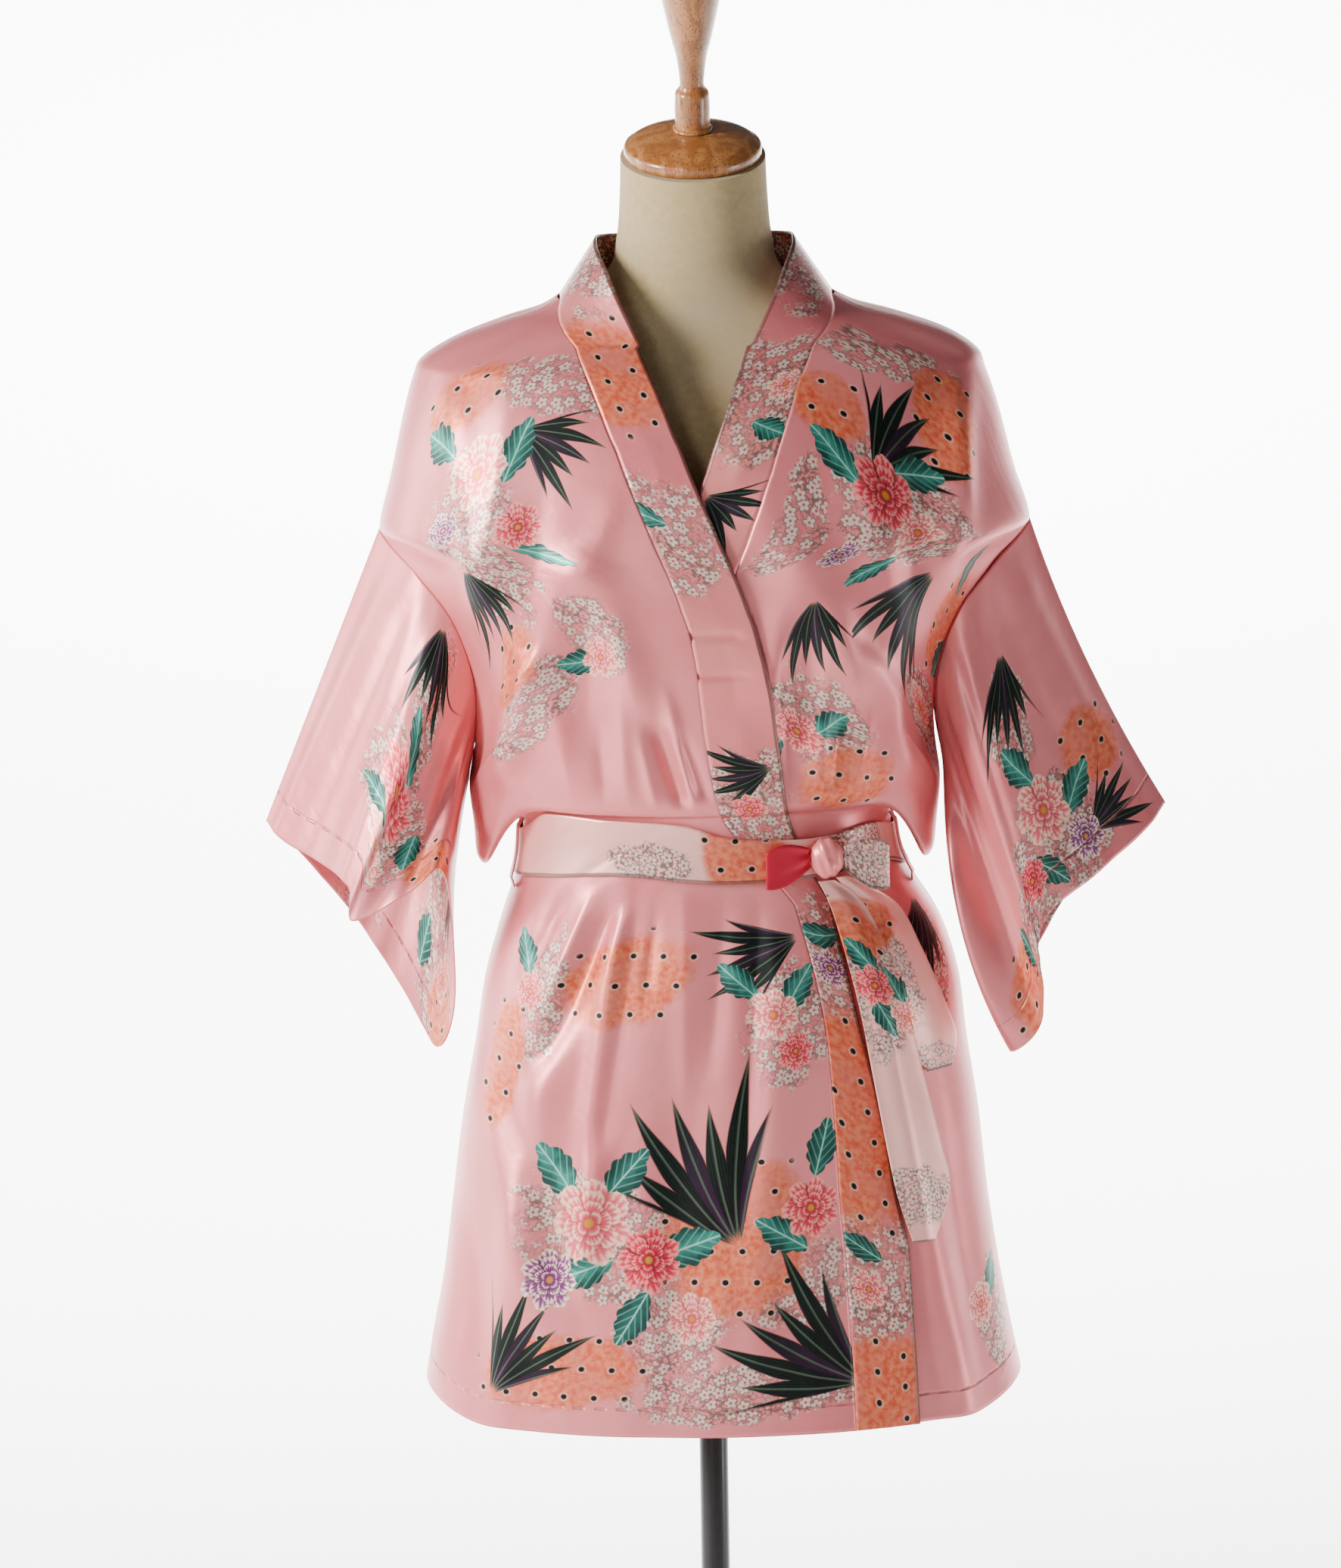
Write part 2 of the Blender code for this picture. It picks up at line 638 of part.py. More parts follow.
# Body of the robe: the back in one, and the two fronts, the -X one on top
SATIN = (0.78, 0.40, 0.42)
BACK_COLUMNS = 27
FRONT_COLUMNS = 15
add_cloth(
    "back_panel", BACK_COLUMNS, len(ROWS),
    panel_place(lambda row: 90 + SIDE_GAP_TURN, lambda row: 270 - SIDE_GAP_TURN),
    SATIN,
)
add_cloth(
    "front_upper", FRONT_COLUMNS, len(ROWS),
    panel_place(lambda row: SIDE_GAP_TURN - 90, lambda row: seam_turn(TOP_EDGE, row, 2, -SEAM_GAP)),
    SATIN,
)
add_cloth(
    "front_lower", FRONT_COLUMNS, len(ROWS),
    panel_place(lambda row: seam_turn(UNDER_EDGE, row, 2, SEAM_GAP), lambda row: 90 - SIDE_GAP_TURN, layer_inset),
    SATIN,
)
add_cloth(
    "neckband", len(BAND_STATIONS), 3,
    lambda along, across: band_place(1 - along, across),
    (0.72, 0.36, 0.36), DOUBLE_CLOTH,
)

# Sleeves, one open tube each
SLEEVE_STEPS = 4 * (ARMHOLE_TOP_ROW - UNDERARM_ROW)
SLEEVE_ROWS = 10
raised_sleeve = sleeve_place(-1, RAISED_CUFF)
add_cloth(
    "sleeve_raised", SLEEVE_STEPS, SLEEVE_ROWS,
    lambda around, down: raised_sleeve((1 - around) % 1, down),
    SATIN, closed=True,
)
add_cloth("sleeve_hanging", SLEEVE_STEPS, SLEEVE_ROWS, sleeve_place(1, HANGING_CUFF), SATIN, closed=True)

# Belt with its loops at the side seams, knot, bow and tails
BELT_COLOUR = (0.80, 0.45, 0.40)
add_cloth("belt", 52, 4, belt_place, BELT_COLOUR, DOUBLE_CLOTH, closed=True)
add_cloth("belt_loop_left", 3, len(BELT_LOOP), belt_loop_place(-1), SATIN)
add_cloth("belt_loop_right", 3, len(BELT_LOOP), belt_loop_place(1), SATIN)
add_cloth("bow_loop_left", 16, 4, bow_place(-1, 0.0330, 0.031, 0.22), (0.50, 0.05, 0.09), closed=True)
add_cloth("bow_loop_right", 16, 4, bow_place(1, 0.0340, 0.038, 0.28), BELT_COLOUR, closed=True)
add_cloth("tail_front", 5, 13, tail_place(FRONT_TAIL), BELT_COLOUR, DOUBLE_CLOTH)
add_cloth("tail_rear", 5, 9, tail_place(REAR_TAIL), BELT_COLOUR, DOUBLE_CLOTH)

knot = bmesh.new()
bmesh.ops.create_uvsphere(knot, u_segments=16, v_segments=9, radius=1)
bmesh.ops.scale(knot, vec=KNOT_HALF, verts=knot.verts)
knot_mesh = bpy.data.meshes.new("knot")
knot.to_mesh(knot_mesh)
knot.free()
knot_item = add_object("knot", knot_mesh, BELT_COLOUR, 0.35)
knot_item.location = (KNOT_X, front_surface(KNOT_X, KNOT_Z).y - KNOT_LIFT, KNOT_Z)
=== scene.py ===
import math
import bmesh
import bpy
import numpy as np
from mathutils import Matrix, Vector


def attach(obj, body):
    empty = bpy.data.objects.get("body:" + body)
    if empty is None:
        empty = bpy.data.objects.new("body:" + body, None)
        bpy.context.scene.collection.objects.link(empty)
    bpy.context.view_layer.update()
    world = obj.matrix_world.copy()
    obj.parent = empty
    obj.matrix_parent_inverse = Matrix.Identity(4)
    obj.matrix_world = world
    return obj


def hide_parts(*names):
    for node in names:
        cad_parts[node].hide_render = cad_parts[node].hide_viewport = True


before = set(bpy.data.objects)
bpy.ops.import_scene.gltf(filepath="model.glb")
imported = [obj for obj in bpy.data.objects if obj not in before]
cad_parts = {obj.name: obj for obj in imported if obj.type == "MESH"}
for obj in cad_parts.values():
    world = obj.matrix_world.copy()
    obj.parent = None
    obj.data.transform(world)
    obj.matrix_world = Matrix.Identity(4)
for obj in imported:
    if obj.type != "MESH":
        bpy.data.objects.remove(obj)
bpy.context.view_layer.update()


# Helpers: shader signals, objects, turned profiles and smooth curves.
class Signal:
    """A shader socket: Python's operators on it add Math nodes, and node() adds any other node."""

    def __init__(self, tree, socket=None):
        self.tree = tree
        self.socket = socket

    def node(self, kind, settings=None, inputs=None, out=0):
        """Add a node with these settings and inputs, and give the signal of one output."""
        item = self.tree.nodes.new(kind)
        for key, value in (settings or {}).items():
            setattr(item, key, value)
        for key, value in (inputs or {}).items():
            if isinstance(value, Signal):
                self.tree.links.new(value.socket, item.inputs[key])
            elif isinstance(value, tuple) and len(value) == 3 and len(item.inputs[key].default_value) == 4:
                item.inputs[key].default_value = (*value, 1.0)
            else:
                item.inputs[key].default_value = value
        return Signal(self.tree, item.outputs[out])

    def maths(self, operation, *values):
        return self.node("ShaderNodeMath", {"operation": operation}, dict(enumerate(values)))

    def __abs__(self):
        return self.maths("ABSOLUTE", self)

    def sine(self):
        return self.maths("SINE", self)

    def floor(self):
        return self.maths("FLOOR", self)

    def fraction(self):
        return self.maths("FRACT", self)

    def above(self, edge, softness):
        """1 where this is past an edge, with a soft step."""
        inputs = {"Value": self, "From Min": edge - softness, "From Max": edge + softness}
        return self.node("ShaderNodeMapRange", {"interpolation_type": "SMOOTHSTEP"}, inputs)

    def mix(self, first, second):
        """A colour between two, by this. A colour mix takes them at sockets 6 and 7 and gives output 2."""
        return self.node("ShaderNodeMix", {"data_type": "RGBA"}, {0: self, 6: first, 7: second}, 2)

    def noise(self, scale, detail):
        """Noise at this place."""
        return self.node("ShaderNodeTexNoise", None, {"Vector": self, "Scale": scale, "Detail": detail})

    def stretch(self, *scale):
        """This place, scaled along each axis."""
        return self.node("ShaderNodeMapping", None, {"Vector": self, "Scale": scale})

    def split(self):
        """The x, y and z of this place."""
        parts = self.node("ShaderNodeSeparateXYZ", None, {"Vector": self}).socket.node
        return [Signal(self.tree, parts.outputs[axis]) for axis in "XYZ"]


OPERATORS = [("add", "ADD"), ("sub", "SUBTRACT"), ("mul", "MULTIPLY"), ("truediv", "DIVIDE"), ("pow", "POWER")]
for method, operation in OPERATORS:
    setattr(Signal, f"__{method}__", lambda left, right, kind=operation: left.maths(kind, left, right))
    setattr(Signal, f"__r{method}__", lambda right, left, kind=operation: right.maths(kind, left, right))


def polar(x, y):
    """Turn from +x and distance of the places at x and y."""
    return x.maths("ARCTAN2", y, x), (x * x + y * y) ** 0.5


def start_material(name):
    """A node material, a signal in its tree and its shader node."""
    material = bpy.data.materials.new(name)
    material.use_nodes = True
    return material, Signal(material.node_tree), material.node_tree.nodes["Principled BSDF"]


def set_shader(shader, values):
    """Set a shader's sockets to signals or to plain values."""
    for socket, value in values.items():
        if isinstance(value, Signal):
            value.tree.links.new(value.socket, shader.inputs[socket])
        else:
            shader.inputs[socket].default_value = value


def bump(height, distance, strength):
    """A bump normal from a height signal in metres."""
    return height.node("ShaderNodeBump", None, {"Height": height, "Distance": distance, "Strength": strength})


def add_object(name, data):
    """Put a new object in the scene."""
    item = bpy.data.objects.new(name, data)
    bpy.context.scene.collection.objects.link(item)
    return item


def smooth_object(name, shape, material):
    """Turn a bmesh into a smooth object of one material."""
    mesh = bpy.data.meshes.new(name)
    shape.to_mesh(mesh)
    shape.free()
    mesh.shade_smooth()
    mesh.materials.append(material)
    return add_object(name, mesh)


def finish_piece(name, shape, material, slot, *nodes):
    """Turn a bmesh into a smooth object that rides on the root and stands for its CAD nodes."""
    piece = smooth_object(name, shape, material)
    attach(piece, "root")
    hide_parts(*nodes)
    return piece


def spin_profile(profile, steps, lean=None):
    """Spin a profile of radii and heights, from the axis round and back to it, about Z."""
    shape = bmesh.new()
    points = [shape.verts.new((radius, 0.0, height)) for radius, height in profile]
    edges = [shape.edges.new(pair) for pair in zip(points, points[1:])]
    bmesh.ops.spin(
        shape, geom=points + edges, cent=(0, 0, 0), axis=(0, 0, 1), angle=2 * math.pi, steps=steps, use_merge=True
    )
    bmesh.ops.remove_doubles(shape, verts=shape.verts, dist=1e-6)
    bmesh.ops.recalc_face_normals(shape, faces=shape.faces)
    if lean is not None:
        bmesh.ops.transform(shape, matrix=lean, verts=shape.verts)
    return shape


def smooth_rows(table, place):
    """Rows of a table at fractional places, on a smooth curve through its rows."""
    table = np.array(table, float)
    place = np.clip(place, 0, len(table) - 1)
    row = np.minimum(place.astype(int), len(table) - 2)
    part = (place - row)[:, None]
    before, start, end, after = (table[np.clip(row + step, 0, len(table) - 1)] for step in (-1, 0, 1, 2))
    return 0.5 * (
        2 * start
        + (end - before) * part
        + (2 * before - 5 * start + 4 * end - after) * part ** 2
        + (3 * start - before - 3 * end + after) * part ** 3
    )


def read_at(table, value):
    """Rows of a table at values of its rising first column."""
    keys = [row[0] for row in table]
    return smooth_rows(table, np.interp(value, keys, range(len(keys))))


def round_profile(points, between=5):
    """Points on a smooth curve through a turned piece's profile."""
    smooth = smooth_rows(points, np.linspace(0, len(points) - 1, (len(points) - 1) * between + 1))
    smooth[:, 0] = np.maximum(smooth[:, 0], 0.0)
    return [tuple(point) for point in smooth]


def ease(value):
    """Ease values from 0 to 1."""
    value = np.clip(value, 0.0, 1.0)
    return value * value * (3 - 2 * value)


# Studio: a white floor that curves up far behind, a big softbox at the viewer's left and weaker fills. The
# camera stands at the front, a little above the belt, and the picture leans by one degree.
CAMERA_DISTANCE = 5.0
CAMERA_RISE = math.radians(10.0)
CAMERA_ROLL = math.radians(-0.98)
SENSOR_WIDTH = 36.0
PICTURE_HEIGHT = 1.184
AIM = Vector((-0.0246, 0.0, 0.994))
camera_data = bpy.data.cameras.new("camera")
camera_data.lens = SENSOR_WIDTH * CAMERA_DISTANCE / PICTURE_HEIGHT
camera_data.sensor_width = SENSOR_WIDTH
camera = add_object("camera", camera_data)
way = Vector((0.0, math.cos(CAMERA_RISE), -math.sin(CAMERA_RISE)))
camera.location = AIM - way * CAMERA_DISTANCE
facing_way = way.to_track_quat("-Z", "Y").to_matrix().to_4x4()
camera.rotation_euler = (facing_way @ Matrix.Rotation(CAMERA_ROLL, 4, "Z")).to_euler()
bpy.context.scene.camera = camera

world = bpy.data.worlds.new("studio")
world.use_nodes = True
background = world.node_tree.nodes["Background"]
background.inputs["Color"].default_value = (1.0, 0.995, 0.99, 1.0)
background.inputs["Strength"].default_value = 0.11
bpy.context.scene.world = world

WHITE = (1.0, 1.0, 1.0)
# Each lamp: name, place, aim, width, height, power, colour
LAMPS = [
    ("key", (-3.2, -1.7, 2.3), (0.0, 0.0, 1.0), 0.8, 1.6, 290.0, (1.0, 0.985, 0.965)),
    ("fill", (2.8, -3.0, 1.2), (0.0, 0.0, 1.0), 0.7, 1.8, 5.0, (1.0, 0.97, 0.97)),
    ("strip", (-1.5, -4.0, 1.9), (0.0, 0.0, 1.0), 0.30, 2.0, 32.0, WHITE),
    ("left_edge", (-2.8, 0.6, 1.6), (0.0, 0.0, 1.0), 0.7, 2.0, 60.0, WHITE),
    ("right_low", (2.6, -0.6, 0.35), (0.0, 0.0, 0.6), 0.7, 0.6, 14.0, WHITE),
    ("near_wall", (0.0, 2.0, 4.0), (0.0, 6.5, 0.5), 5.0, 1.5, 2100.0, WHITE),
    ("far_wall", (0.0, 7.5, 5.5), (0.0, 10.5, 0.8), 6.0, 2.0, 3600.0, WHITE),
]
for lamp_name, place, aim, width, height, power, colour in LAMPS:
    lamp_data = bpy.data.lights.new(lamp_name, "AREA")
    lamp_data.shape = "RECTANGLE"
    lamp_data.size = width
    lamp_data.size_y = height
    lamp_data.energy = power
    lamp_data.color = colour
    lamp = add_object(lamp_name, lamp_data)
    lamp.location = place
    lamp.visible_camera = False
    lamp.rotation_euler = (Vector(aim) - Vector(place)).to_track_quat("-Z", "Y").to_euler()

FLOOR_REACH = 14.0
FLAT_REACH = 6.0
FLOOR_RISE = 3.2
FLOOR_DROP = 0.0005
floor_shape = bmesh.new()
bmesh.ops.create_grid(floor_shape, x_segments=48, y_segments=48, size=FLOOR_REACH)
for vert in floor_shape.verts:
    past = max(vert.co.to_2d().length - FLAT_REACH, 0.0) / (FLOOR_REACH - FLAT_REACH)
    vert.co.z = FLOOR_RISE * past ** 2 - FLOOR_DROP
paper, _, paper_shader = start_material("paper")
set_shader(paper_shader, {"Base Color": (0.93, 0.925, 0.92, 1.0), "Roughness": 0.9})
floor = smooth_object("floor", floor_shape, paper)

# Base and pole: a weighted round base and a steel tube, both in a dark gunmetal finish.
# The base is spun from one profile, and the pole stands in its middle.
BASE_RADIUS = 0.170
BASE_HEIGHT = 0.022
POLE_RADIUS = 0.011
FORM_BOTTOM = 0.715
METAL_GAP = 0.0003
METAL_BEVEL = 0.0006
SHARP_TURN = math.radians(50)
gunmetal, metal_start, metal_shader = start_material("gunmetal")
metal_place = metal_start.node("ShaderNodeTexCoord", out="Object")
brush_marks = metal_place.stretch(220.0, 220.0, 6.0).noise(1.0, 3.0)
smudges = metal_place.noise(14.0, 4.0)
set_shader(metal_shader, {
    "Base Color": brush_marks.mix((0.016, 0.0155, 0.016), (0.040, 0.039, 0.040)),
    "Roughness": 0.20 + smudges * 0.16 + brush_marks * 0.06,
    "Normal": bump(brush_marks, 0.00004, 0.4),
    "Metallic": 0.6,
})
base_profile = [
    (0, BASE_HEIGHT), (0.0150, BASE_HEIGHT), (0.0230, 0.0217), (0.0260, 0.0205), (0.0800, 0.0168), (0.1530, 0.0118),
    (0.1640, 0.0100), (0.1685, 0.0080), (BASE_RADIUS, 0.0055), (BASE_RADIUS, 0.0012), (0.1690, 0.0), (0, 0),
]
base = finish_piece("round_base", spin_profile(base_profile, 96), gunmetal, "metal", "base")
base.data.set_sharp_from_angle(angle=SHARP_TURN)
pole_top = FORM_BOTTOM - METAL_GAP
pole_foot = BASE_HEIGHT + METAL_GAP
pole_profile = [
    (0, pole_top), (POLE_RADIUS - METAL_BEVEL, pole_top), (POLE_RADIUS, pole_top - METAL_BEVEL),
    (POLE_RADIUS, pole_foot + METAL_BEVEL), (POLE_RADIUS - METAL_BEVEL, pole_foot), (0, pole_foot),
]
pole = finish_piece("steel_pole", spin_profile(pole_profile, 48), gunmetal, "metal", "pole")
pole.data.set_sharp_from_angle(angle=SHARP_TURN)

# Neck cap and finial: turned in a honey-brown wood and varnished, the cap a shallow dome and the finial
# a slim neck that swells to a knob. They lean forward with the neck's cut top.
NECK_TOP = 1.468
NECK_TILT = math.radians(16.5)
lean = Matrix.Translation((0, 0, NECK_TOP + METAL_GAP)) @ Matrix.Rotation(NECK_TILT, 4, "X")
honey_wood, wood_start, wood_shader = start_material("honey_wood")
long_grain = wood_start.node("ShaderNodeTexCoord", out="Object").stretch(1.0, 1.0, 0.10)
pores = long_grain.noise(900.0, 2.0)
rings = (long_grain.noise(38.0, 2.0) * 34.0).sine() * 0.5 + 0.5
wood_colour = rings.mix((0.30, 0.105, 0.024), (0.46, 0.19, 0.055))
set_shader(wood_shader, {
    "Base Color": pores.above(0.60, 0.06).mix(wood_colour, (0.15, 0.045, 0.012)),
    "Roughness": 0.26 + pores * 0.12,
    "Normal": bump(pores + rings * 0.3, 0.00012, 0.5),
    "Coat Weight": 0.5,
    "Coat Roughness": 0.15,
})
cap_profile = [
    (0, 0.0200), (0.016, 0.0195), (0.030, 0.0174), (0.042, 0.0138), (0.0480, 0.0104), (0.0503, 0.0088),
    (0.0512, 0.0072), (0.0514, 0.0060), (0.0514, 0.0014), (0.0508, 0.0003), (0.0500, 0.0), (0, 0.0),
]
cap_line = [*round_profile(cap_profile[:8]), *cap_profile[8:]]
finish_piece("wood_neck_cap", spin_profile(cap_line, 96, lean), honey_wood, "wood", "neck_cap")
finial_profile = [
    (0, 0.1600), (0.0080, 0.1583), (0.0150, 0.1525), (0.0205, 0.1425), (0.0228, 0.1320), (0.0214, 0.1215),
    (0.0155, 0.0940), (0.0112, 0.0765), (0.0091, 0.0585), (0.0098, 0.0535), (0.0122, 0.0500), (0.0129, 0.0465),
    (0.0132, 0.0340), (0.0128, 0.0250), (0.0124, 0.0235), (0.0136, 0.0224), (0.0145, 0.0216), (0.0145, 0.0203),
]
finial_line = [*round_profile(finial_profile[:-1]), finial_profile[-1], (0, finial_profile[-1][1])]
finial = finish_piece("wood_finial", spin_profile(finial_line, 64, lean), honey_wood, "wood", "finial")
finial.data.set_sharp_from_angle(angle=math.radians(60))

# Torso: a padded limbless form under a smooth natural linen, cut off flat at the hips and closed by the
# cap at the neck. Only its neck shows above the robe.
TORSO = [
    (FORM_BOTTOM, 0.1500, 0.0980), (0.722, 0.1560, 0.1040), (0.800, 0.1600, 0.1100), (0.860, 0.1490, 0.1050),
    (0.920, 0.1290, 0.0960), (0.968, 0.1200, 0.0920), (1.020, 0.1260, 0.0980), (1.080, 0.1380, 0.1080),
    (1.150, 0.1500, 0.1180), (1.210, 0.1580, 0.1120), (1.270, 0.1760, 0.0960), (1.300, 0.1840, 0.0800),
    (1.318, 0.1900, 0.0680), (1.3339, 0.1800, 0.0620), (1.3464, 0.1470, 0.0605), (1.3549, 0.1185, 0.0600),
    (1.3645, 0.0900, 0.0595), (1.385, 0.0640, 0.0580), (1.410, 0.0575, 0.0565), (1.440, 0.0550, 0.0550),
    (NECK_TOP, 0.0540, 0.0540),
]
TORSO_SIDES = 84
TORSO_ROWS = 100
TILT_START = TORSO[-3][0]
linen, linen_start, linen_shader = start_material("linen")
linen_place = linen_start.node("ShaderNodeTexCoord", out="Object")
linen_x, linen_y, linen_z = linen_place.split()
around_neck, _ = polar(linen_x, linen_y)
threads = (around_neck * 330.0).sine() * (linen_z * 6200.0).sine()
slubs = linen_place.noise(180.0, 4.0)
soiling = linen_place.noise(9.0, 3.0)
linen_colour = slubs.mix((0.35, 0.25, 0.11), (0.50, 0.385, 0.19))
set_shader(linen_shader, {
    "Base Color": soiling.above(0.55, 0.25).mix(linen_colour, (0.40, 0.31, 0.19)),
    "Normal": bump(threads * 0.5 + slubs, 0.00018, 0.5),
    "Roughness": 0.88,
    "Sheen Weight": 0.15,
})
torso_shape = bmesh.new()
bmesh.ops.create_grid(torso_shape, x_segments=TORSO_SIDES, y_segments=TORSO_ROWS, size=1.0)
torso_shape.verts.ensure_lookup_table()
flat = np.array([vert.co[:2] for vert in torso_shape.verts])
torso_rows = smooth_rows(TORSO, (flat[:, 1] + 1) / 2 * (len(TORSO) - 1))
torso_turn = (flat[:, 0] + 1) * math.pi
torso_y = torso_rows[:, 2] * np.sin(torso_turn)
tilt_share = ease((torso_rows[:, 0] - TILT_START) / (NECK_TOP - TILT_START))
torso_z = torso_rows[:, 0] + math.tan(NECK_TILT) * torso_y * tilt_share
for vert, x, y, z in zip(torso_shape.verts, torso_rows[:, 1] * np.cos(torso_turn), torso_y, torso_z):
    vert.co = (x, y, z)
bmesh.ops.remove_doubles(torso_shape, verts=torso_shape.verts, dist=1e-6)
bmesh.ops.holes_fill(torso_shape, edges=[edge for edge in torso_shape.edges if edge.is_boundary], sides=0)
bmesh.ops.recalc_face_normals(torso_shape, faces=torso_shape.faces)
torso = finish_piece("linen_torso", torso_shape, linen, "linen", "torso")
torso.data.set_sharp_from_angle(angle=SHARP_TURN)

# Back of the robe: one piece of printed satin from shoulder to hem, hung from the shoulders and drawn in
# by the belt, so that it blouses above it and falls in soft flutes below.
CLOTH = 0.0012
DOUBLE_CLOTH = 0.0016
SEAM_GAP = 0.00008
LAYER_INSET = 0.0042
HIDDEN_INSET = 0.0045
SQUARENESS = 0.8
SIDE_GAP_TURN = 0.05
# Shares of the way from the middle to the side seam: start and span of the turn to the side's height, start
# of the armhole's tuck, end and span of the folds
SIDE_START, SIDE_SPAN = 0.56, 0.40
TUCK_START = 0.66
FOLD_END, FOLD_SPAN = 0.97, 0.15
# The belt holds the creases down by this share between these heights
BELT_HOLD = 0.85
BELT_LOW, BELT_HIGH = 0.925, 1.003
CREASE_CREST = 1.6
CREASE_FADE = 0.55
EVEN_PASSES = 60
# Height at the front, height at the sides, half-width on -X, on +X, depth to the front, to the back
SECTIONS = [
    (0.525, 0.540, 0.2190, 0.2360, 0.1500, 0.1500),
    (0.560, 0.572, 0.2135, 0.2293, 0.1470, 0.1485),
    (0.610, 0.620, 0.2040, 0.2205, 0.1430, 0.1460),
    (0.675, 0.680, 0.1957, 0.2118, 0.1390, 0.1430),
    (0.740, 0.742, 0.1870, 0.2055, 0.1340, 0.1390),
    (0.800, 0.800, 0.1760, 0.1970, 0.1280, 0.1330),
    (0.850, 0.850, 0.1675, 0.1910, 0.1220, 0.1270),
    (0.890, 0.890, 0.1560, 0.1780, 0.1170, 0.1200),
    (0.920, 0.920, 0.1460, 0.1600, 0.1140, 0.1130),
    (0.945, 0.945, 0.1390, 0.1460, 0.1120, 0.1080),
    (0.970, 0.970, 0.1365, 0.1410, 0.1115, 0.1060),
    (0.986, 0.990, 0.1380, 0.1425, 0.1130, 0.1070),
    (0.990, 0.966, 0.1510, 0.1560, 0.1165, 0.1110),
    (0.996, 0.940, 0.1635, 0.1650, 0.1200, 0.1160),
    (1.006, 0.945, 0.1715, 0.1730, 0.1235, 0.1200),
    (1.022, 0.968, 0.1735, 0.1760, 0.1270, 0.1240),
    (1.044, 1.000, 0.1765, 0.1790, 0.1310, 0.1270),
    (1.075, 1.040, 0.1760, 0.1800, 0.1370, 0.1300),
    (1.105, 1.085, 0.1880, 0.1930, 0.1430, 0.1320),
    (1.140, 1.130, 0.2120, 0.2180, 0.1470, 0.1320),
    (1.170, 1.165, 0.2320, 0.2380, 0.1480, 0.1310),
    (1.193, 1.193, 0.2395, 0.2480, 0.1470, 0.1290),
    (1.235, 1.235, 0.2297, 0.2360, 0.1410, 0.1260),
    (1.280, 1.280, 0.2195, 0.2248, 0.1270, 0.1210),
    (1.308, 1.308, 0.2115, 0.2155, 0.1140, 0.1140),
    (1.321, 1.321, 0.2045, 0.2100, 0.1060, 0.1080),
    (1.3355, 1.3355, 0.1800, 0.1880, 0.0955, 0.1010),
    (1.348, 1.348, 0.1470, 0.1530, 0.0870, 0.0950),
    (1.3565, 1.3565, 0.1185, 0.1220, 0.0790, 0.0890),
    (1.365, 1.365, 0.1030, 0.1040, 0.0700, 0.0840),
]
TOP_ROW = len(SECTIONS) - 1
# Reach from the middle and depth of the armhole's edge, from the underarm's section up
UNDERARM_ROW = 16
ARMHOLE = [
    (0.1765, 0.0008), (0.1700, 0.0300), (0.1700, 0.0500), (0.1850, 0.0560), (0.2120, 0.0450), (0.2395, 0.0008),
]
ARMHOLE_TOP_ROW = UNDERARM_ROW + len(ARMHOLE) - 1
# Upper height and x, lower height and x, half-width, rise
FRONT_FOLDS = [
    (1.060, -0.036, 1.000, -0.016, 0.007, -0.0060),
    (1.055, -0.018, 1.005, 0.000, 0.006, -0.0035),
    (1.190, -0.088, 1.060, -0.132, 0.020, 0.0050),
    (1.110, -0.120, 1.010, -0.152, 0.013, 0.0080),
    (1.110, 0.122, 1.010, 0.152, 0.013, 0.0060),
    (1.185, -0.082, 1.075, -0.042, 0.018, 0.0036),
    (1.190, 0.073, 1.060, 0.046, 0.018, 0.0036),
    (1.190, 0.080, 1.070, 0.112, 0.018, 0.0044),
    (1.310, 0.196, 1.110, 0.176, 0.012, 0.0050),
    (1.300, -0.180, 1.130, -0.168, 0.016, 0.0050),
    (0.925, -0.066, 0.800, -0.125, 0.010, -0.0070),
    (0.925, -0.052, 0.740, -0.082, 0.009, -0.0060),
    (0.925, -0.060, 0.640, -0.098, 0.012, 0.0070),
    (0.900, 0.060, 0.560, 0.030, 0.020, 0.0050),
    (0.880, -0.110, 0.530, -0.165, 0.016, 0.0060),
    (0.880, 0.125, 0.530, 0.190, 0.014, 0.0060),
    (0.850, -0.010, 0.530, -0.040, 0.022, -0.0040),
]
BACK_FOLDS = [
    (1.300, -0.150, 1.060, -0.110, 0.018, 0.0060),
    (1.290, 0.140, 1.080, 0.095, 0.016, 0.0060),
    (1.080, -0.040, 1.005, -0.030, 0.010, 0.0050),
    (1.070, 0.030, 1.005, 0.040, 0.009, -0.0050),
    (1.060, 0.090, 1.005, 0.080, 0.010, 0.0045),
    (0.925, -0.070, 0.530, -0.120, 0.016, 0.0080),
    (0.925, -0.030, 0.650, -0.050, 0.011, -0.0060),
    (0.925, 0.015, 0.530, 0.025, 0.017, 0.0070),
    (0.925, 0.060, 0.560, 0.100, 0.013, -0.0060),
    (0.900, 0.100, 0.530, 0.165, 0.016, 0.0070),
]
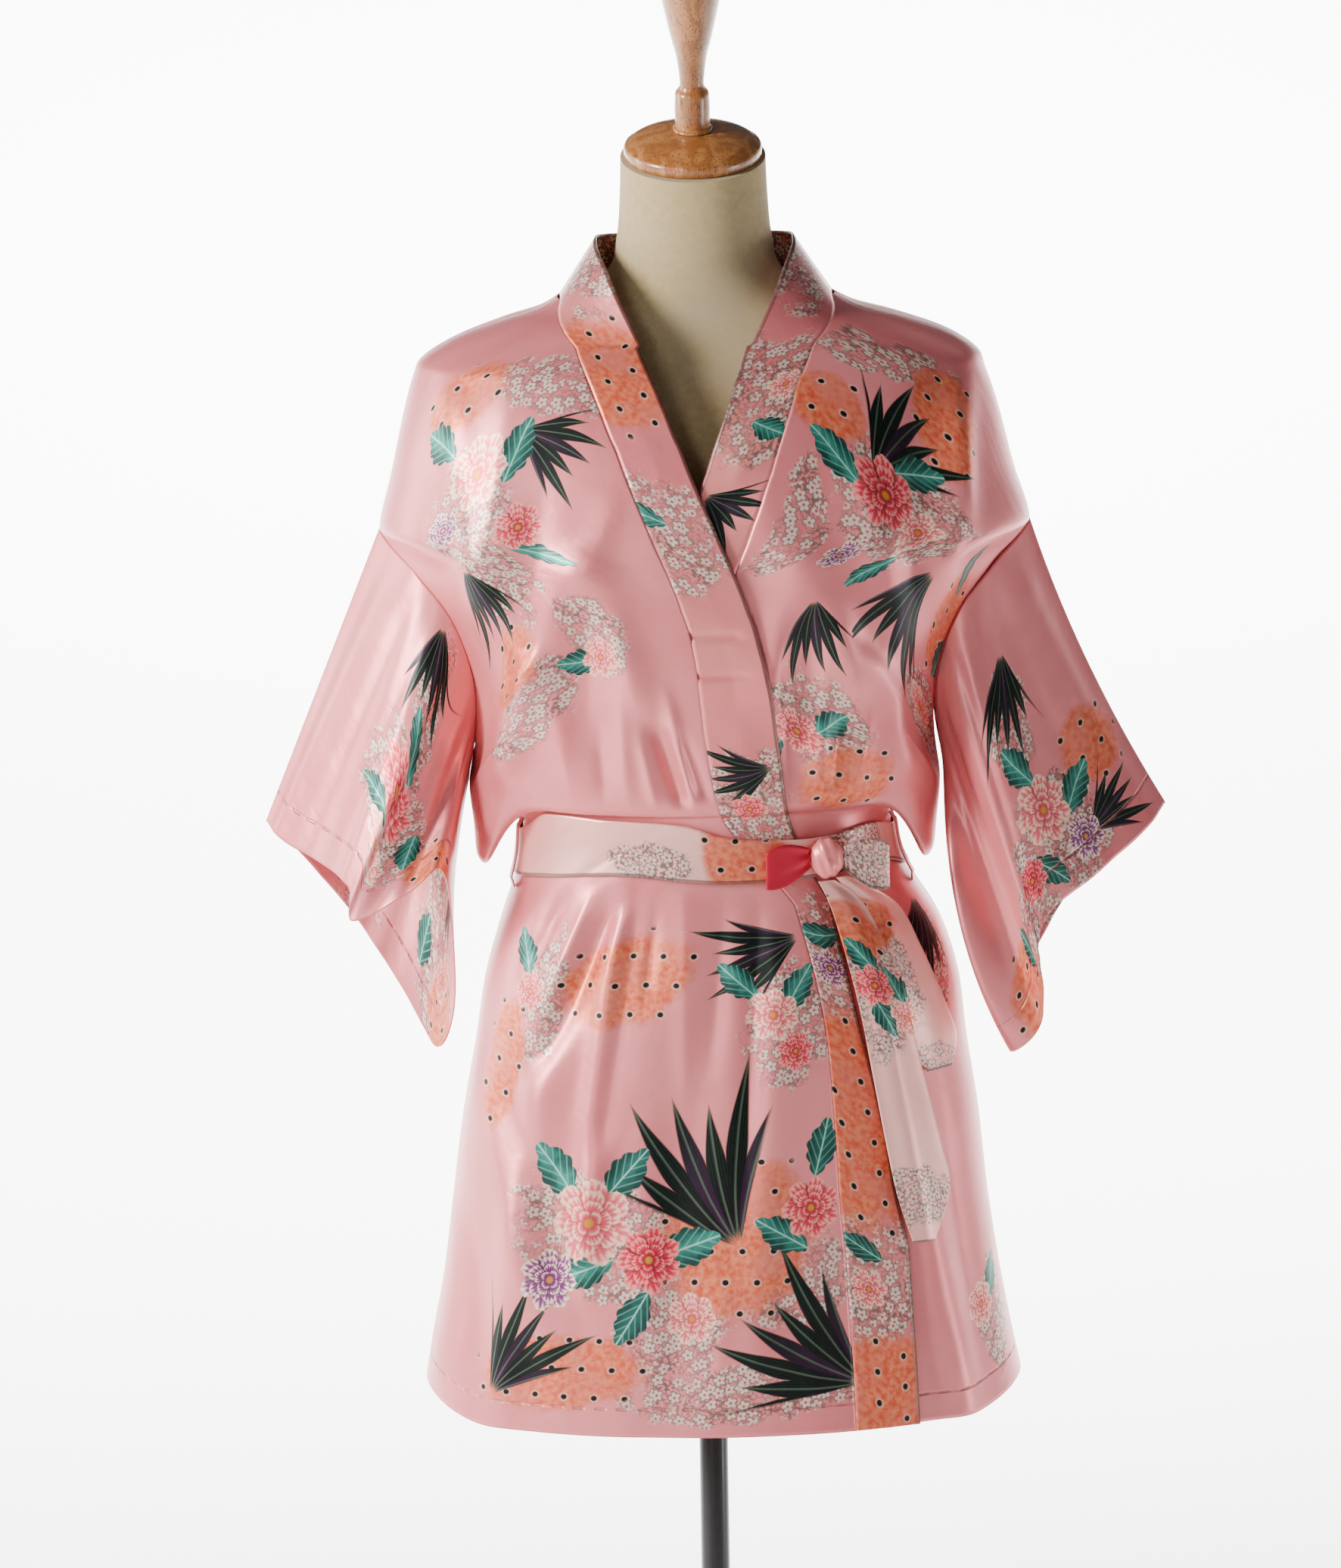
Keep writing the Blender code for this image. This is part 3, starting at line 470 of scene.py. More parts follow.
# Smaller creases in the same columns, placed one by one on the front and as uneven on the back
FRONT_CREASES = [
    (1.300, -0.140, 1.090, -0.166, 0.018, 0.0055),
    (1.270, -0.175, 1.080, -0.190, 0.013, -0.0050),
    (1.250, -0.115, 1.150, -0.128, 0.014, -0.0034),
    (1.240, -0.060, 1.165, -0.088, 0.012, 0.0026),
    (1.150, -0.106, 1.030, -0.140, 0.015, 0.0050),
    (1.148, -0.064, 1.060, -0.044, 0.012, 0.0042),
    (1.150, -0.085, 1.040, -0.086, 0.015, -0.0056),
    (1.130, -0.148, 1.030, -0.128, 0.010, -0.0045),
    (1.100, -0.112, 1.006, -0.098, 0.009, 0.0042),
    (1.090, -0.060, 1.000, -0.056, 0.008, 0.0040),
    (1.084, -0.036, 0.985, -0.016, 0.0052, -0.0012),
    (1.084, -0.026, 0.985, -0.005, 0.0050, 0.0054),
    (1.060, -0.048, 0.990, -0.034, 0.0050, 0.0034),
    (1.062, -0.078, 1.000, -0.074, 0.007, -0.0036),
    (1.150, 0.058, 1.060, 0.048, 0.011, 0.0038),
    (1.150, 0.096, 1.050, 0.120, 0.013, 0.0044),
    (1.150, 0.078, 1.050, 0.078, 0.013, -0.0060),
    (1.120, 0.062, 1.000, 0.066, 0.007, -0.0040),
    (1.110, 0.090, 1.000, 0.084, 0.008, 0.0042),
    (1.080, 0.104, 1.000, 0.098, 0.006, -0.0038),
    (1.070, 0.122, 1.006, 0.112, 0.007, 0.0038),
    (1.270, 0.110, 1.150, 0.138, 0.014, 0.0042),
    (1.290, 0.162, 1.120, 0.156, 0.012, -0.0048),
    (1.300, 0.186, 1.180, 0.200, 0.010, 0.0044),
    (1.150, 0.150, 1.040, 0.140, 0.010, 0.0040),
    (0.930, -0.104, 0.860, -0.136, 0.007, -0.0044),
    (0.930, -0.084, 0.850, -0.116, 0.006, 0.0038),
    (0.930, -0.036, 0.840, -0.048, 0.007, -0.0032),
    (0.930, -0.016, 0.760, -0.018, 0.011, 0.0030),
    (0.930, 0.014, 0.800, 0.002, 0.009, -0.0026),
    (0.930, 0.040, 0.700, 0.026, 0.008, -0.0036),
    (0.930, 0.096, 0.860, 0.110, 0.007, -0.0030),
    (0.915, 0.116, 0.780, 0.142, 0.008, 0.0036),
    (0.905, 0.136, 0.800, 0.162, 0.007, -0.0034),
    (0.820, -0.178, 0.560, -0.118, 0.018, 0.0056),
    (0.790, -0.150, 0.590, -0.094, 0.013, -0.0044),
    (0.700, -0.185, 0.530, -0.170, 0.014, -0.0034),
    (0.700, 0.070, 0.530, 0.078, 0.016, 0.0030),
    (0.740, -0.050, 0.530, -0.040, 0.016, 0.0032),
    (0.650, 0.010, 0.530, 0.000, 0.014, 0.0028),
    (0.800, 0.170, 0.550, 0.205, 0.011, -0.0040),
    (0.760, 0.150, 0.530, 0.172, 0.010, 0.0030),
]
BACK_CREASES = [
    (1.310, -0.060, 1.180, -0.095, 0.014, 0.0034),
    (1.300, 0.055, 1.190, 0.082, 0.014, -0.0034),
    (1.240, -0.125, 1.120, -0.150, 0.012, 0.0042),
    (1.230, 0.110, 1.130, 0.150, 0.012, 0.0038),
    (1.140, -0.075, 1.010, -0.065, 0.009, -0.0040),
    (1.100, -0.110, 1.010, -0.100, 0.008, 0.0038),
    (1.120, 0.000, 1.010, 0.004, 0.009, 0.0034),
    (1.090, 0.060, 1.010, 0.058, 0.007, 0.0034),
    (1.110, 0.120, 1.010, 0.108, 0.008, -0.0036),
    (0.930, -0.100, 0.840, -0.124, 0.008, -0.0040),
    (0.930, -0.048, 0.800, -0.070, 0.008, 0.0038),
    (0.930, -0.006, 0.780, -0.012, 0.010, -0.0038),
    (0.930, 0.036, 0.820, 0.048, 0.008, 0.0036),
    (0.930, 0.082, 0.780, 0.118, 0.009, 0.0036),
    (0.780, -0.090, 0.530, -0.100, 0.015, -0.0036),
    (0.760, 0.060, 0.530, 0.066, 0.015, -0.0034),
    (0.780, 0.160, 0.540, 0.190, 0.012, -0.0034),
    (0.770, -0.170, 0.550, -0.195, 0.012, 0.0034),
]


def fold_rise(x, z, folds, crest=2.0, fade=0.3):
    """Rise of folds or creases at places on the front or the back, sharper crested under 2."""
    rise = np.zeros_like(x)
    for high, high_x, low, low_x, half_width, height in folds:
        down = (high - z) / (high - low)
        line_x = high_x + (low_x - high_x) * down
        ends = ease((down + 0.15) / fade) * ease((1.15 - down) / fade)
        rise += height * ends * np.exp(-(np.abs((x - line_x) / half_width) ** crest))
    return rise


def layer_inset(x, row):
    """How far the lower front lies inside the upper front."""
    past_edge = x - read_at(TOP_EDGE, smooth_rows(SECTIONS, row)[:, 0])[:, 1]
    return LAYER_INSET * ease((0.045 - past_edge) / 0.035) + HIDDEN_INSET * ease((-0.020 - past_edge) / 0.040)


def body(row, turn, inset=0.0, creased=True):
    """Points of the worn robe at section rows and turns from the front, -180 to 180."""
    front_z, side_z, left, right, front, back = smooth_rows(SECTIONS, row).T
    turn = np.where(turn > 180, turn - 360, turn)
    side = np.where(turn < 0, -1.0, 1.0)
    half_width = np.where(side < 0, left, right)
    is_back = np.abs(turn) > 90
    share = np.where(is_back, 180 - np.abs(turn), np.abs(turn)) / 90
    in_armhole = (row >= UNDERARM_ROW) & (row <= ARMHOLE_TOP_ROW)
    reach, end_depth = smooth_rows(ARMHOLE, row - UNDERARM_ROW).T
    end_turn = np.where(in_armhole, np.arcsin(np.minimum(reach / left, 1.0)), math.pi / 2)
    angle = share * end_turn
    facing = np.where(is_back, 1.0, -1.0)
    depth = np.where(is_back, back, front)
    x = side * half_width * np.sin(angle)
    y = facing * depth * np.maximum(np.cos(angle), 0.0) ** SQUARENESS
    z = front_z + (side_z - front_z) * ease((share - SIDE_START) / SIDE_SPAN)
    outward = np.stack([x / half_width ** 2, y / depth ** 2], 1)
    outward /= np.linalg.norm(outward, axis=1)[:, None]
    rise = np.where(is_back, fold_rise(x, z, BACK_FOLDS), fold_rise(x, z, FRONT_FOLDS))
    if creased:
        under_belt = ease((z - BELT_LOW) / 0.015) * ease((BELT_HIGH - z) / 0.010)
        on_back = fold_rise(x, z, BACK_CREASES, CREASE_CREST, CREASE_FADE)
        on_front = fold_rise(x, z, FRONT_CREASES, CREASE_CREST, CREASE_FADE)
        rise = rise + np.where(is_back, on_back, on_front) * (1 - BELT_HOLD * under_belt)
    rise = rise * ease((FOLD_END - share) / FOLD_SPAN) - inset
    ring_depth = depth * np.maximum(np.cos(end_turn), 0.0) ** SQUARENESS
    tuck_share = ease((share - TUCK_START) / (1 - TUCK_START))
    tuck = np.where(in_armhole, facing * (ring_depth - end_depth) * tuck_share, 0.0)
    return np.stack([x + outward[:, 0] * rise, y + outward[:, 1] * rise - tuck, z], 1)


def lay_cloth(name, columns, rows, place, wall, material, slot, node, anchor=0.5, closed=False, relief=None):
    """Lay a sheet of cloth: a grid moved to its places, with its flat cut kept as a UV map in metres.
    The cut runs across from the anchor column and up from the grid's lowest row."""
    shape = bmesh.new()
    cut_layer = shape.loops.layers.uv.new("cut")
    bmesh.ops.create_grid(shape, x_segments=columns, y_segments=rows, size=1.0)
    shape.verts.ensure_lookup_table()
    shape.verts.index_update()
    across, up = (np.array([vert.co[:2] for vert in shape.verts]) + 1).T / 2
    order = np.lexsort((across.round(6), up.round(6)))
    points = place(across, up)
    net = points[order].reshape(rows + 1, columns + 1, 3)
    along_row = np.cumsum(np.linalg.norm(np.diff(net, axis=1, prepend=net[:, :1]), axis=2), axis=1)
    along_row -= along_row[:, round(anchor * columns)][:, None]
    up_column = np.cumsum(np.linalg.norm(np.diff(net, axis=0, prepend=net[:1]), axis=2), axis=0)
    for _ in range(EVEN_PASSES):
        for lines in (along_row, along_row.T, up_column, up_column.T):
            lines[1:-1] = (lines[:-2] + 2 * lines[1:-1] + lines[2:]) / 4
    if relief is not None:
        run = np.gradient(net, axis=1)
        if closed:
            run[:, [0, -1]] = (net[:, 1] - net[:, -2])[:, None] / 2
        outward = np.cross(run, np.gradient(net, axis=0))
        outward /= np.maximum(np.linalg.norm(outward, axis=2), 1e-12)[:, :, None]
        rise = relief(across[order], up[order]).reshape(rows + 1, columns + 1)
        net = net + outward * rise[:, :, None]
    moved = np.empty_like(points)
    moved[order] = net.reshape(-1, 3)
    cut = np.empty((len(points), 2))
    cut[order] = np.stack([along_row, up_column], 2).reshape(-1, 2)
    for vert, point in zip(shape.verts, moved):
        vert.co = point
    for face in shape.faces:
        for loop in face.loops:
            loop[cut_layer].uv = cut[loop.vert.index]
    if closed:
        bmesh.ops.remove_doubles(shape, verts=shape.verts, dist=1e-6)
    piece = finish_piece(name, shape, material, slot, node)
    thicken = piece.modifiers.new("wall", "SOLIDIFY")
    thicken.thickness = wall
    thicken.offset = -1
    return piece


# How far a motif reaches in its own sizes, a place past every motif, and where a patch fades out
MOTIF_REACH = 1.35
FAR_OFF = 9.0
PATCH_REACH = 1.5


def print_cloth(piece, motifs, patches):
    """Lay the print on a piece: for each kind of motif, a UV map centred on the nearest one.
    A motif or patch is placed by a point near the worn cloth and drawn on the flat cut."""
    mesh = piece.data
    cut = np.empty(len(mesh.loops) * 2)
    mesh.uv_layers["cut"].uv.foreach_get("vector", cut)
    cut = cut.reshape(-1, 2)
    spots = np.empty(len(mesh.vertices) * 3)
    mesh.vertices.foreach_get("co", spots)
    corner_verts = np.empty(len(mesh.loops), dtype=int)
    mesh.loops.foreach_get("vertex_index", corner_verts)
    corners = spots.reshape(-1, 3)[corner_verts]
    middles = cut.reshape(-1, 4, 2).mean(axis=1)

    def centred(point, turn, wide, high):
        spin = math.radians(turn)
        turned = np.array([[math.cos(spin), -math.sin(spin)], [math.sin(spin), math.cos(spin)]])
        middle = cut[np.argmin(np.linalg.norm(corners - point, axis=1))]
        return lambda places: (places - middle) @ turned / (wide, high)

    tints = np.zeros((len(cut), 2))
    for kind in ("flower", "leaf", "spray"):
        nearest = np.full(len(middles), MOTIF_REACH)
        local = np.full((len(cut), 2), FAR_OFF)
        for x, y, z, size, turn, *tint in motifs.get(kind, []):
            centre = centred((x, y, z), turn, size, size)
            distance = np.linalg.norm(centre(middles), axis=1)
            chosen = np.repeat(distance < nearest, 4)
            nearest = np.minimum(nearest, distance)
            local[chosen] = centre(cut)[chosen]
            if tint:
                tints[chosen, ("flower", "leaf").index(kind)] = tint[0]
        mesh.uv_layers.new(name=kind).uv.foreach_set("vector", local.ravel())
    mesh.uv_layers.new(name="tint").uv.foreach_set("vector", tints.ravel())
    areas = np.zeros((len(cut), 2))
    for column, kind in enumerate(("coral", "lace")):
        for x, y, z, half_wide, half_high, turn in patches.get(kind, []):
            away = np.linalg.norm(centred((x, y, z), turn, half_wide, half_high)(cut), axis=1)
            areas[:, column] = np.maximum(areas[:, column], np.clip(PATCH_REACH - away, 0, 1))
    mesh.uv_layers.new(name="area").uv.foreach_set("vector", areas.ravel())
    mesh.uv_layers["cut"].active_render = True


def uv_signals(start, layer):
    """The place on a UV map, with its x and y."""
    place = start.node("ShaderNodeUVMap", {"uv_map": layer})
    x, y, _ = place.split()
    return place, x, y


BLOSSOMS_A_METRE = 92.0
DOTS_A_METRE = 43.0
DOT_ROWS_A_METRE = 46.0
# A spray's leaves start this far left of its middle, this many to a radian, each of this turn
STALK = 1.05
BLADES_A_RADIAN = 4.4
BLADE_TURN = 0.227
# Rounds of a peony's petals: size, half the number of petals, turn
PETAL_ROUNDS = [(1.02, 3.5, 0.0), (0.76, 3.0, 0.7), (0.52, 2.5, 1.6), (0.30, 2.0, 0.3)]


def lay_blossoms(cut, ragged, area, colour):
    """Fields of lacy blossoms: cream, five-petalled, over a fine grey-brown stipple."""
    cells = {"Vector": cut, "Scale": BLOSSOMS_A_METRE, "Randomness": 0.9}
    middle = cut.node("ShaderNodeTexVoronoi", {"feature": "F1"}, cells, "Position")
    from_middle = cut.node("ShaderNodeVectorMath", {"operation": "SUBTRACT"}, {0: cut, 1: middle})
    turn, reach = polar(*from_middle.split()[:2])
    reach = reach * BLOSSOMS_A_METRE
    inside = 0.30 + abs((turn * 2.5).sine()) * 0.20 - reach
    heart = (0.10 - reach).above(0.0, 0.03)
    blossom = heart.mix(inside.above(0.09, 0.05).mix((0.20, 0.13, 0.11), (0.68, 0.51, 0.44)), (0.42, 0.10, 0.11))
    stipple = cut.noise(330.0, 3.0).above(0.50, 0.05)
    gaps = cut.noise(30.0, 3.0).above(0.50, 0.06)
    ground = (stipple * (0.45 + gaps * 0.5)).mix(colour, (0.17, 0.11, 0.095))
    field = (inside.above(0.0, 0.04) * ragged.above(0.40, 0.05)).mix(ground, blossom)
    return (area + (ragged - 0.5) * 1.3).above(0.45, 0.12).mix(colour, field)


def lay_clouds(cut, ragged, area, colour):
    """Kanoko clouds: mottled coral banks with rows of dark dots in pale rings."""
    tone = cut.noise(210.0, 4.0).above(0.5, 0.2).mix((0.60, 0.070, 0.022), (0.80, 0.21, 0.10))
    tone = (cut.noise(24.0, 2.0).above(0.56, 0.12) * 0.6).mix(tone, (0.72, 0.19, 0.15))
    colour = ((area + (ragged - 0.5) * 0.7).above(0.42, 0.16) * 0.93).mix(colour, tone)
    cut_x, cut_y, _ = cut.split()
    row = cut_y * DOT_ROWS_A_METRE
    run = cut_x * DOTS_A_METRE + row.floor() * 0.5
    dot_x = run.fraction() - 0.5
    dot_y = row.fraction() - 0.5
    reach = (dot_x * dot_x + dot_y * dot_y * 1.2) ** 0.5
    dotted = area.above(0.22, 0.08)
    colour = ((0.155 - reach).above(0.0, 0.035) * dotted * 0.65).mix(colour, (0.78, 0.50, 0.38))
    return ((0.105 - reach).above(0.0, 0.03) * dotted).mix(colour, (0.006, 0.004, 0.005))


def lay_sprays(start, colour):
    """Bamboo: long pointed leaves that fan out from a stalk, near black with a fine pale rib."""
    _, x, y = uv_signals(start, "spray")
    turn, reach = polar(x + STALK, y)
    blade = turn * BLADES_A_RADIAN + reach * 0.30
    number = blade.floor()
    from_rib = (blade - number - 0.5) * reach * BLADE_TURN
    run = (reach - 0.10) / (1.72 + (number * 2.3).sine() * 0.28)
    width = (run * math.pi).sine() * (0.158 - run * 0.070)
    tone = run.above(0.35, 0.30).mix((0.0030, 0.0022, 0.0026), (0.0035, 0.0130, 0.0085))
    tone = (from_rib * 190.0).sine().above(0.3, 0.5).mix(tone, (0.0015, 0.0012, 0.0012))
    purple = (number * 1.9 + 0.8).sine().above(0.55, 0.1) * (0.9 - run)
    tone = (purple * 0.8).mix(tone, (0.050, 0.003, 0.045))
    tone = (0.012 - abs(from_rib)).above(0.0, 0.008).mix(tone, (0.060, 0.085, 0.060))
    in_spray = (width - abs(from_rib)).above(0.0, 0.012) * (0.66 - abs(turn)).above(0.0, 0.02)
    return in_spray.mix(colour, tone)


def lay_leaves(start, cut, tint, colour):
    """Toothed leaves, teal to dark green, with a pale rib."""
    _, x, y = uv_signals(start, "leaf")
    run = (x + 1.0) * 0.5
    off = abs(y)
    width = (run * math.pi).sine() * 0.50 + abs((run * 15.0).sine()) * 0.10
    tone = tint.mix((0.006, 0.030, 0.022), (0.035, 0.25, 0.20))
    tone = (cut.noise(120.0, 2.0) * 0.5 + off * 0.9).above(0.42, 0.22).mix(tone, (0.008, 0.045, 0.038))
    veins = (run * 34.0 - off * 26.0).sine().above(0.75, 0.2)
    tone = (veins * 0.35).mix(tone, (0.20, 0.50, 0.40))
    tone = (0.026 - off).above(0.0, 0.012).mix(tone, (0.30, 0.52, 0.42))
    in_leaf = (width - off).above(0.03, 0.02) * (1.0 - abs(x)).above(0.02, 0.02)
    return in_leaf.mix(colour, tone)


def lay_peonies(start, tint, colour):
    """Peonies: rounds of ruffled petals over a gold heart, red at tint 0, pale at 1 and purple at 2."""
    place, x, y = uv_signals(start, "flower")
    turn, reach = polar(x, y)
    ruffle = place.noise(6.0, 3.0) * 0.34
    purple = tint.above(1.5, 0.1)
    bright = purple.mix(tint.mix((0.80, 0.030, 0.080), (0.86, 0.22, 0.24)), (0.30, 0.07, 0.26))
    dark = purple.mix(tint.mix((0.20, 0.002, 0.010), (0.62, 0.030, 0.070)), (0.10, 0.008, 0.09))
    pale = tint.mix((0.92, 0.26, 0.24), (0.95, 0.72, 0.50))
    for size, petals, offset in PETAL_ROUNDS:
        lobe = abs((turn * petals + offset + ruffle * 3.0).sine())
        petal_size = (lobe * 0.20 + 0.86) * size - ruffle * size
        depth = reach / petal_size
        streaked = depth + (turn * 31.0 + ruffle * 20.0).sine() * 0.08
        tone = streaked.above(0.66, 0.30).mix(dark, bright)
        tone = streaked.above(0.88, 0.10).mix(tone, pale)
        fold = (0.25 - lobe).above(0.0, 0.18) * depth.above(0.5, 0.3)
        colour = (petal_size - reach).above(0.0, 0.025).mix(colour, (fold * 0.85).mix(tone, dark))
    return (0.10 - reach).above(0.0, 0.04).mix(colour, (0.60, 0.26, 0.03))


def make_satin(name, ground, deep, printed=True, hem=None, edge_line=None):
    """Glossy satin in two tones, with the print and with a stitched hem or a dark edge line where given."""
    material, start, shader = start_material(name)
    cut, cut_x, cut_y = uv_signals(start, "cut")
    colour = cut.noise(7.0, 3.0).above(0.5, 0.22).mix(ground, deep)
    if printed:
        _, coral, lace = uv_signals(start, "area")
        _, flower_tint, leaf_tint = uv_signals(start, "tint")
        ragged = cut.noise(48.0, 4.0)
        colour = lay_blossoms(cut, ragged, lace, colour)
        colour = lay_clouds(cut, ragged, coral, colour)
        colour = lay_sprays(start, colour)
        colour = lay_leaves(start, cut, leaf_tint, colour)
        colour = lay_peonies(start, flower_tint, colour)
    # Weave: satin floats that run down the cloth, and a soft pressed relief
    floats = cut.stretch(1.0, 0.12, 1.0).noise(1900.0, 2.0)
    pressed = cut.noise(26.0, 3.0)
    height = floats * 0.00003 + pressed * 0.0010
    if hem is not None:
        stitch_run = (cut_x * 380.0).sine().above(0.0, 0.5)
        stitch = (0.0010 - abs(cut_y - hem)).above(0.0, 0.0005)
        height = height - stitch * 0.0008 + stitch * stitch_run * 0.0006
        height = height + (hem - cut_y).above(0.0, 0.0008) * 0.0002
        # The stitched line is painted darker, most in the sunken gaps between the threads: painted shade along the
        # hem's groove
        colour = (stitch * (1.0 - stitch_run * 0.5) * 0.6).mix(colour, (0.42, 0.12, 0.12))
    if edge_line is not None:
        line = (0.0016 - abs(cut_y - edge_line)).above(0.0, 0.0005)
        colour = (line * 0.75).mix(colour, (0.10, 0.05, 0.04))
    set_shader(shader, {
        "Base Color": colour,
        "Roughness": 0.30 + floats * 0.10 + pressed * 0.06,
        "Normal": bump(height, 1.0, 0.9),
        "Metallic": 0.42,
        "Specular IOR Level": 0.35,
    })
    return material


def panel_place(start_of, end_of, inset_of=None):
    """Make the placing function of a panel between two turns that change with the row."""

    def place(across, up):
        row = up * TOP_ROW
        turn = start_of(row) + (end_of(row) - start_of(row)) * across
        points = body(row, turn)
        if inset_of is None:
            return points
        return body(row, turn, inset_of(points[:, 0], row))

    return place


HEM_DEPTH = 0.025
PINK = (0.80, 0.245, 0.255)
DEEP_PINK = (0.68, 0.165, 0.18)
satin = make_satin("printed_satin", PINK, DEEP_PINK, hem=HEM_DEPTH)
back_panel = lay_cloth(
    "back_panel_satin", 150, 210,
    panel_place(lambda row: 90 + SIDE_GAP_TURN + row * 0, lambda row: 270 - SIDE_GAP_TURN + row * 0),
    CLOTH, satin, "satin", "back_panel",
)
# Motifs of each kind: x, y, z near the worn cloth, size, turn, tint except on sprays
BACK_MOTIFS = {
    "flower": [
        (0.09, 0.12, 1.2, 0.036, 20, 0.8), (-0.03, 0.12, 1.13, 0.032, 70, 0.2), (-0.08, 0.14, 0.64, 0.04, 10, 0.6),
        (-0.02, 0.14, 0.59, 0.032, 50, 1.0), (0.14, 0.12, 0.62, 0.034, -20, 2.0),
    ],
    "leaf": [
        (0.05, 0.12, 1.225, 0.03, 150, 0.9), (0.125, 0.1, 1.165, 0.028, 40, 0.4), (-0.07, 0.12, 1.1, 0.028, -30, 0.8),
        (0.0, 0.12, 1.165, 0.026, 110, 0.5), (-0.125, 0.13, 0.655, 0.032, 20, 0.9),
        (-0.06, 0.14, 0.59, 0.028, -60, 0.4), (0.1, 0.14, 0.59, 0.03, 160, 0.8), (0.18, 0.1, 0.65, 0.028, 60, 0.3),
    ],
    "spray": [
        (-0.105, 0.1, 1.24, 0.06, 25), (0.07, 0.13, 0.76, 0.07, -30), (0.13, 0.12, 0.68, 0.048, 100),
    ],
}
# Patches of each kind: x, y, z near the worn cloth, half-width, half-height, turn
BACK_PATCHES = {
    "coral": [
        (-0.08, 0.12, 0.83, 0.05, 0.09, 10), (0.15, 0.1, 1.08, 0.045, 0.06, -15), (0.02, 0.14, 0.62, 0.045, 0.07, 0),
    ],
    "lace": [
        (0.15, 0.08, 1.26, 0.05, 0.06, 0), (-0.15, 0.1, 1.1, 0.045, 0.09, 0), (0.06, 0.14, 0.56, 0.12, 0.035, 0),
        (-0.15, 0.12, 0.57, 0.08, 0.03, 0), (-0.02, 0.13, 0.85, 0.04, 0.06, 30),
    ],
}
print_cloth(back_panel, BACK_MOTIFS, BACK_PATCHES)

# The two fronts: the one at the viewer's left lies on top, the other passes under it. Each runs from its
# side seam to the seam of the neckband, with the same blouse, pleats and flutes as the back.
# Front edge of the upper front: height, edge x, band seam x
TOP_EDGE = [
    (0.525, 0.1545, 0.1060), (0.660, 0.1470, 0.1000), (0.702, 0.1380, 0.0960), (0.757, 0.1290, 0.0930),
    (0.837, 0.1110, 0.0860), (0.920, 0.0940, 0.0660), (0.950, 0.0760, 0.0420), (0.985, 0.0630, 0.0140),
    (1.043, 0.0560, 0.0020), (1.109, 0.0450, -0.0050), (1.146, 0.0350, -0.0140), (1.207, 0.0110, -0.0380),
    (1.2635, -0.0120, -0.0600), (1.297, -0.0260, -0.0740), (1.3355, -0.0430, -0.0890), (1.348, -0.0560, -0.0990),
    (1.3565, -0.0660, -0.1020), (1.365, -0.0700, -0.1005),
]
# Front edge of the lower front, in the same columns
UNDER_EDGE = [
    (0.525, -0.1250, -0.0770), (0.740, -0.1050, -0.0580), (0.837, -0.0900, -0.0430), (0.920, -0.0700, -0.0240),
    (0.985, -0.0600, -0.0130), (1.043, -0.0520, -0.0050), (1.109, -0.0420, 0.0060), (1.146, -0.0320, 0.0160),
    (1.207, -0.0100, 0.0380), (1.2465, 0.0050, 0.0530), (1.308, 0.0260, 0.0730), (1.3355, 0.0370, 0.0860),
    (1.348, 0.0500, 0.0980), (1.3565, 0.0600, 0.1030), (1.365, 0.0660, 0.1015),
]


def turn_of(x, row):
    """Turns from the front at which the robe's front has these x."""
    _, _, left, right, _, _ = smooth_rows(SECTIONS, row).T
    half_width = np.where(x < 0, left, right)
    in_armhole = (row >= UNDERARM_ROW) & (row <= ARMHOLE_TOP_ROW)
    reach = smooth_rows(ARMHOLE, row - UNDERARM_ROW)[:, 0]
    end_turn = np.where(in_armhole, np.degrees(np.arcsin(np.minimum(reach / left, 1.0))), 90.0)
    return np.degrees(np.arcsin(np.clip(x / half_width, -1.0, 1.0))) * 90.0 / end_turn


def seam_turn(table, row, column, step=0.0):
    """Turns of a front edge or band seam at section rows."""
    front_z = smooth_rows(SECTIONS, row)[:, 0]
    return turn_of(read_at(table, front_z)[:, column] + step, row)


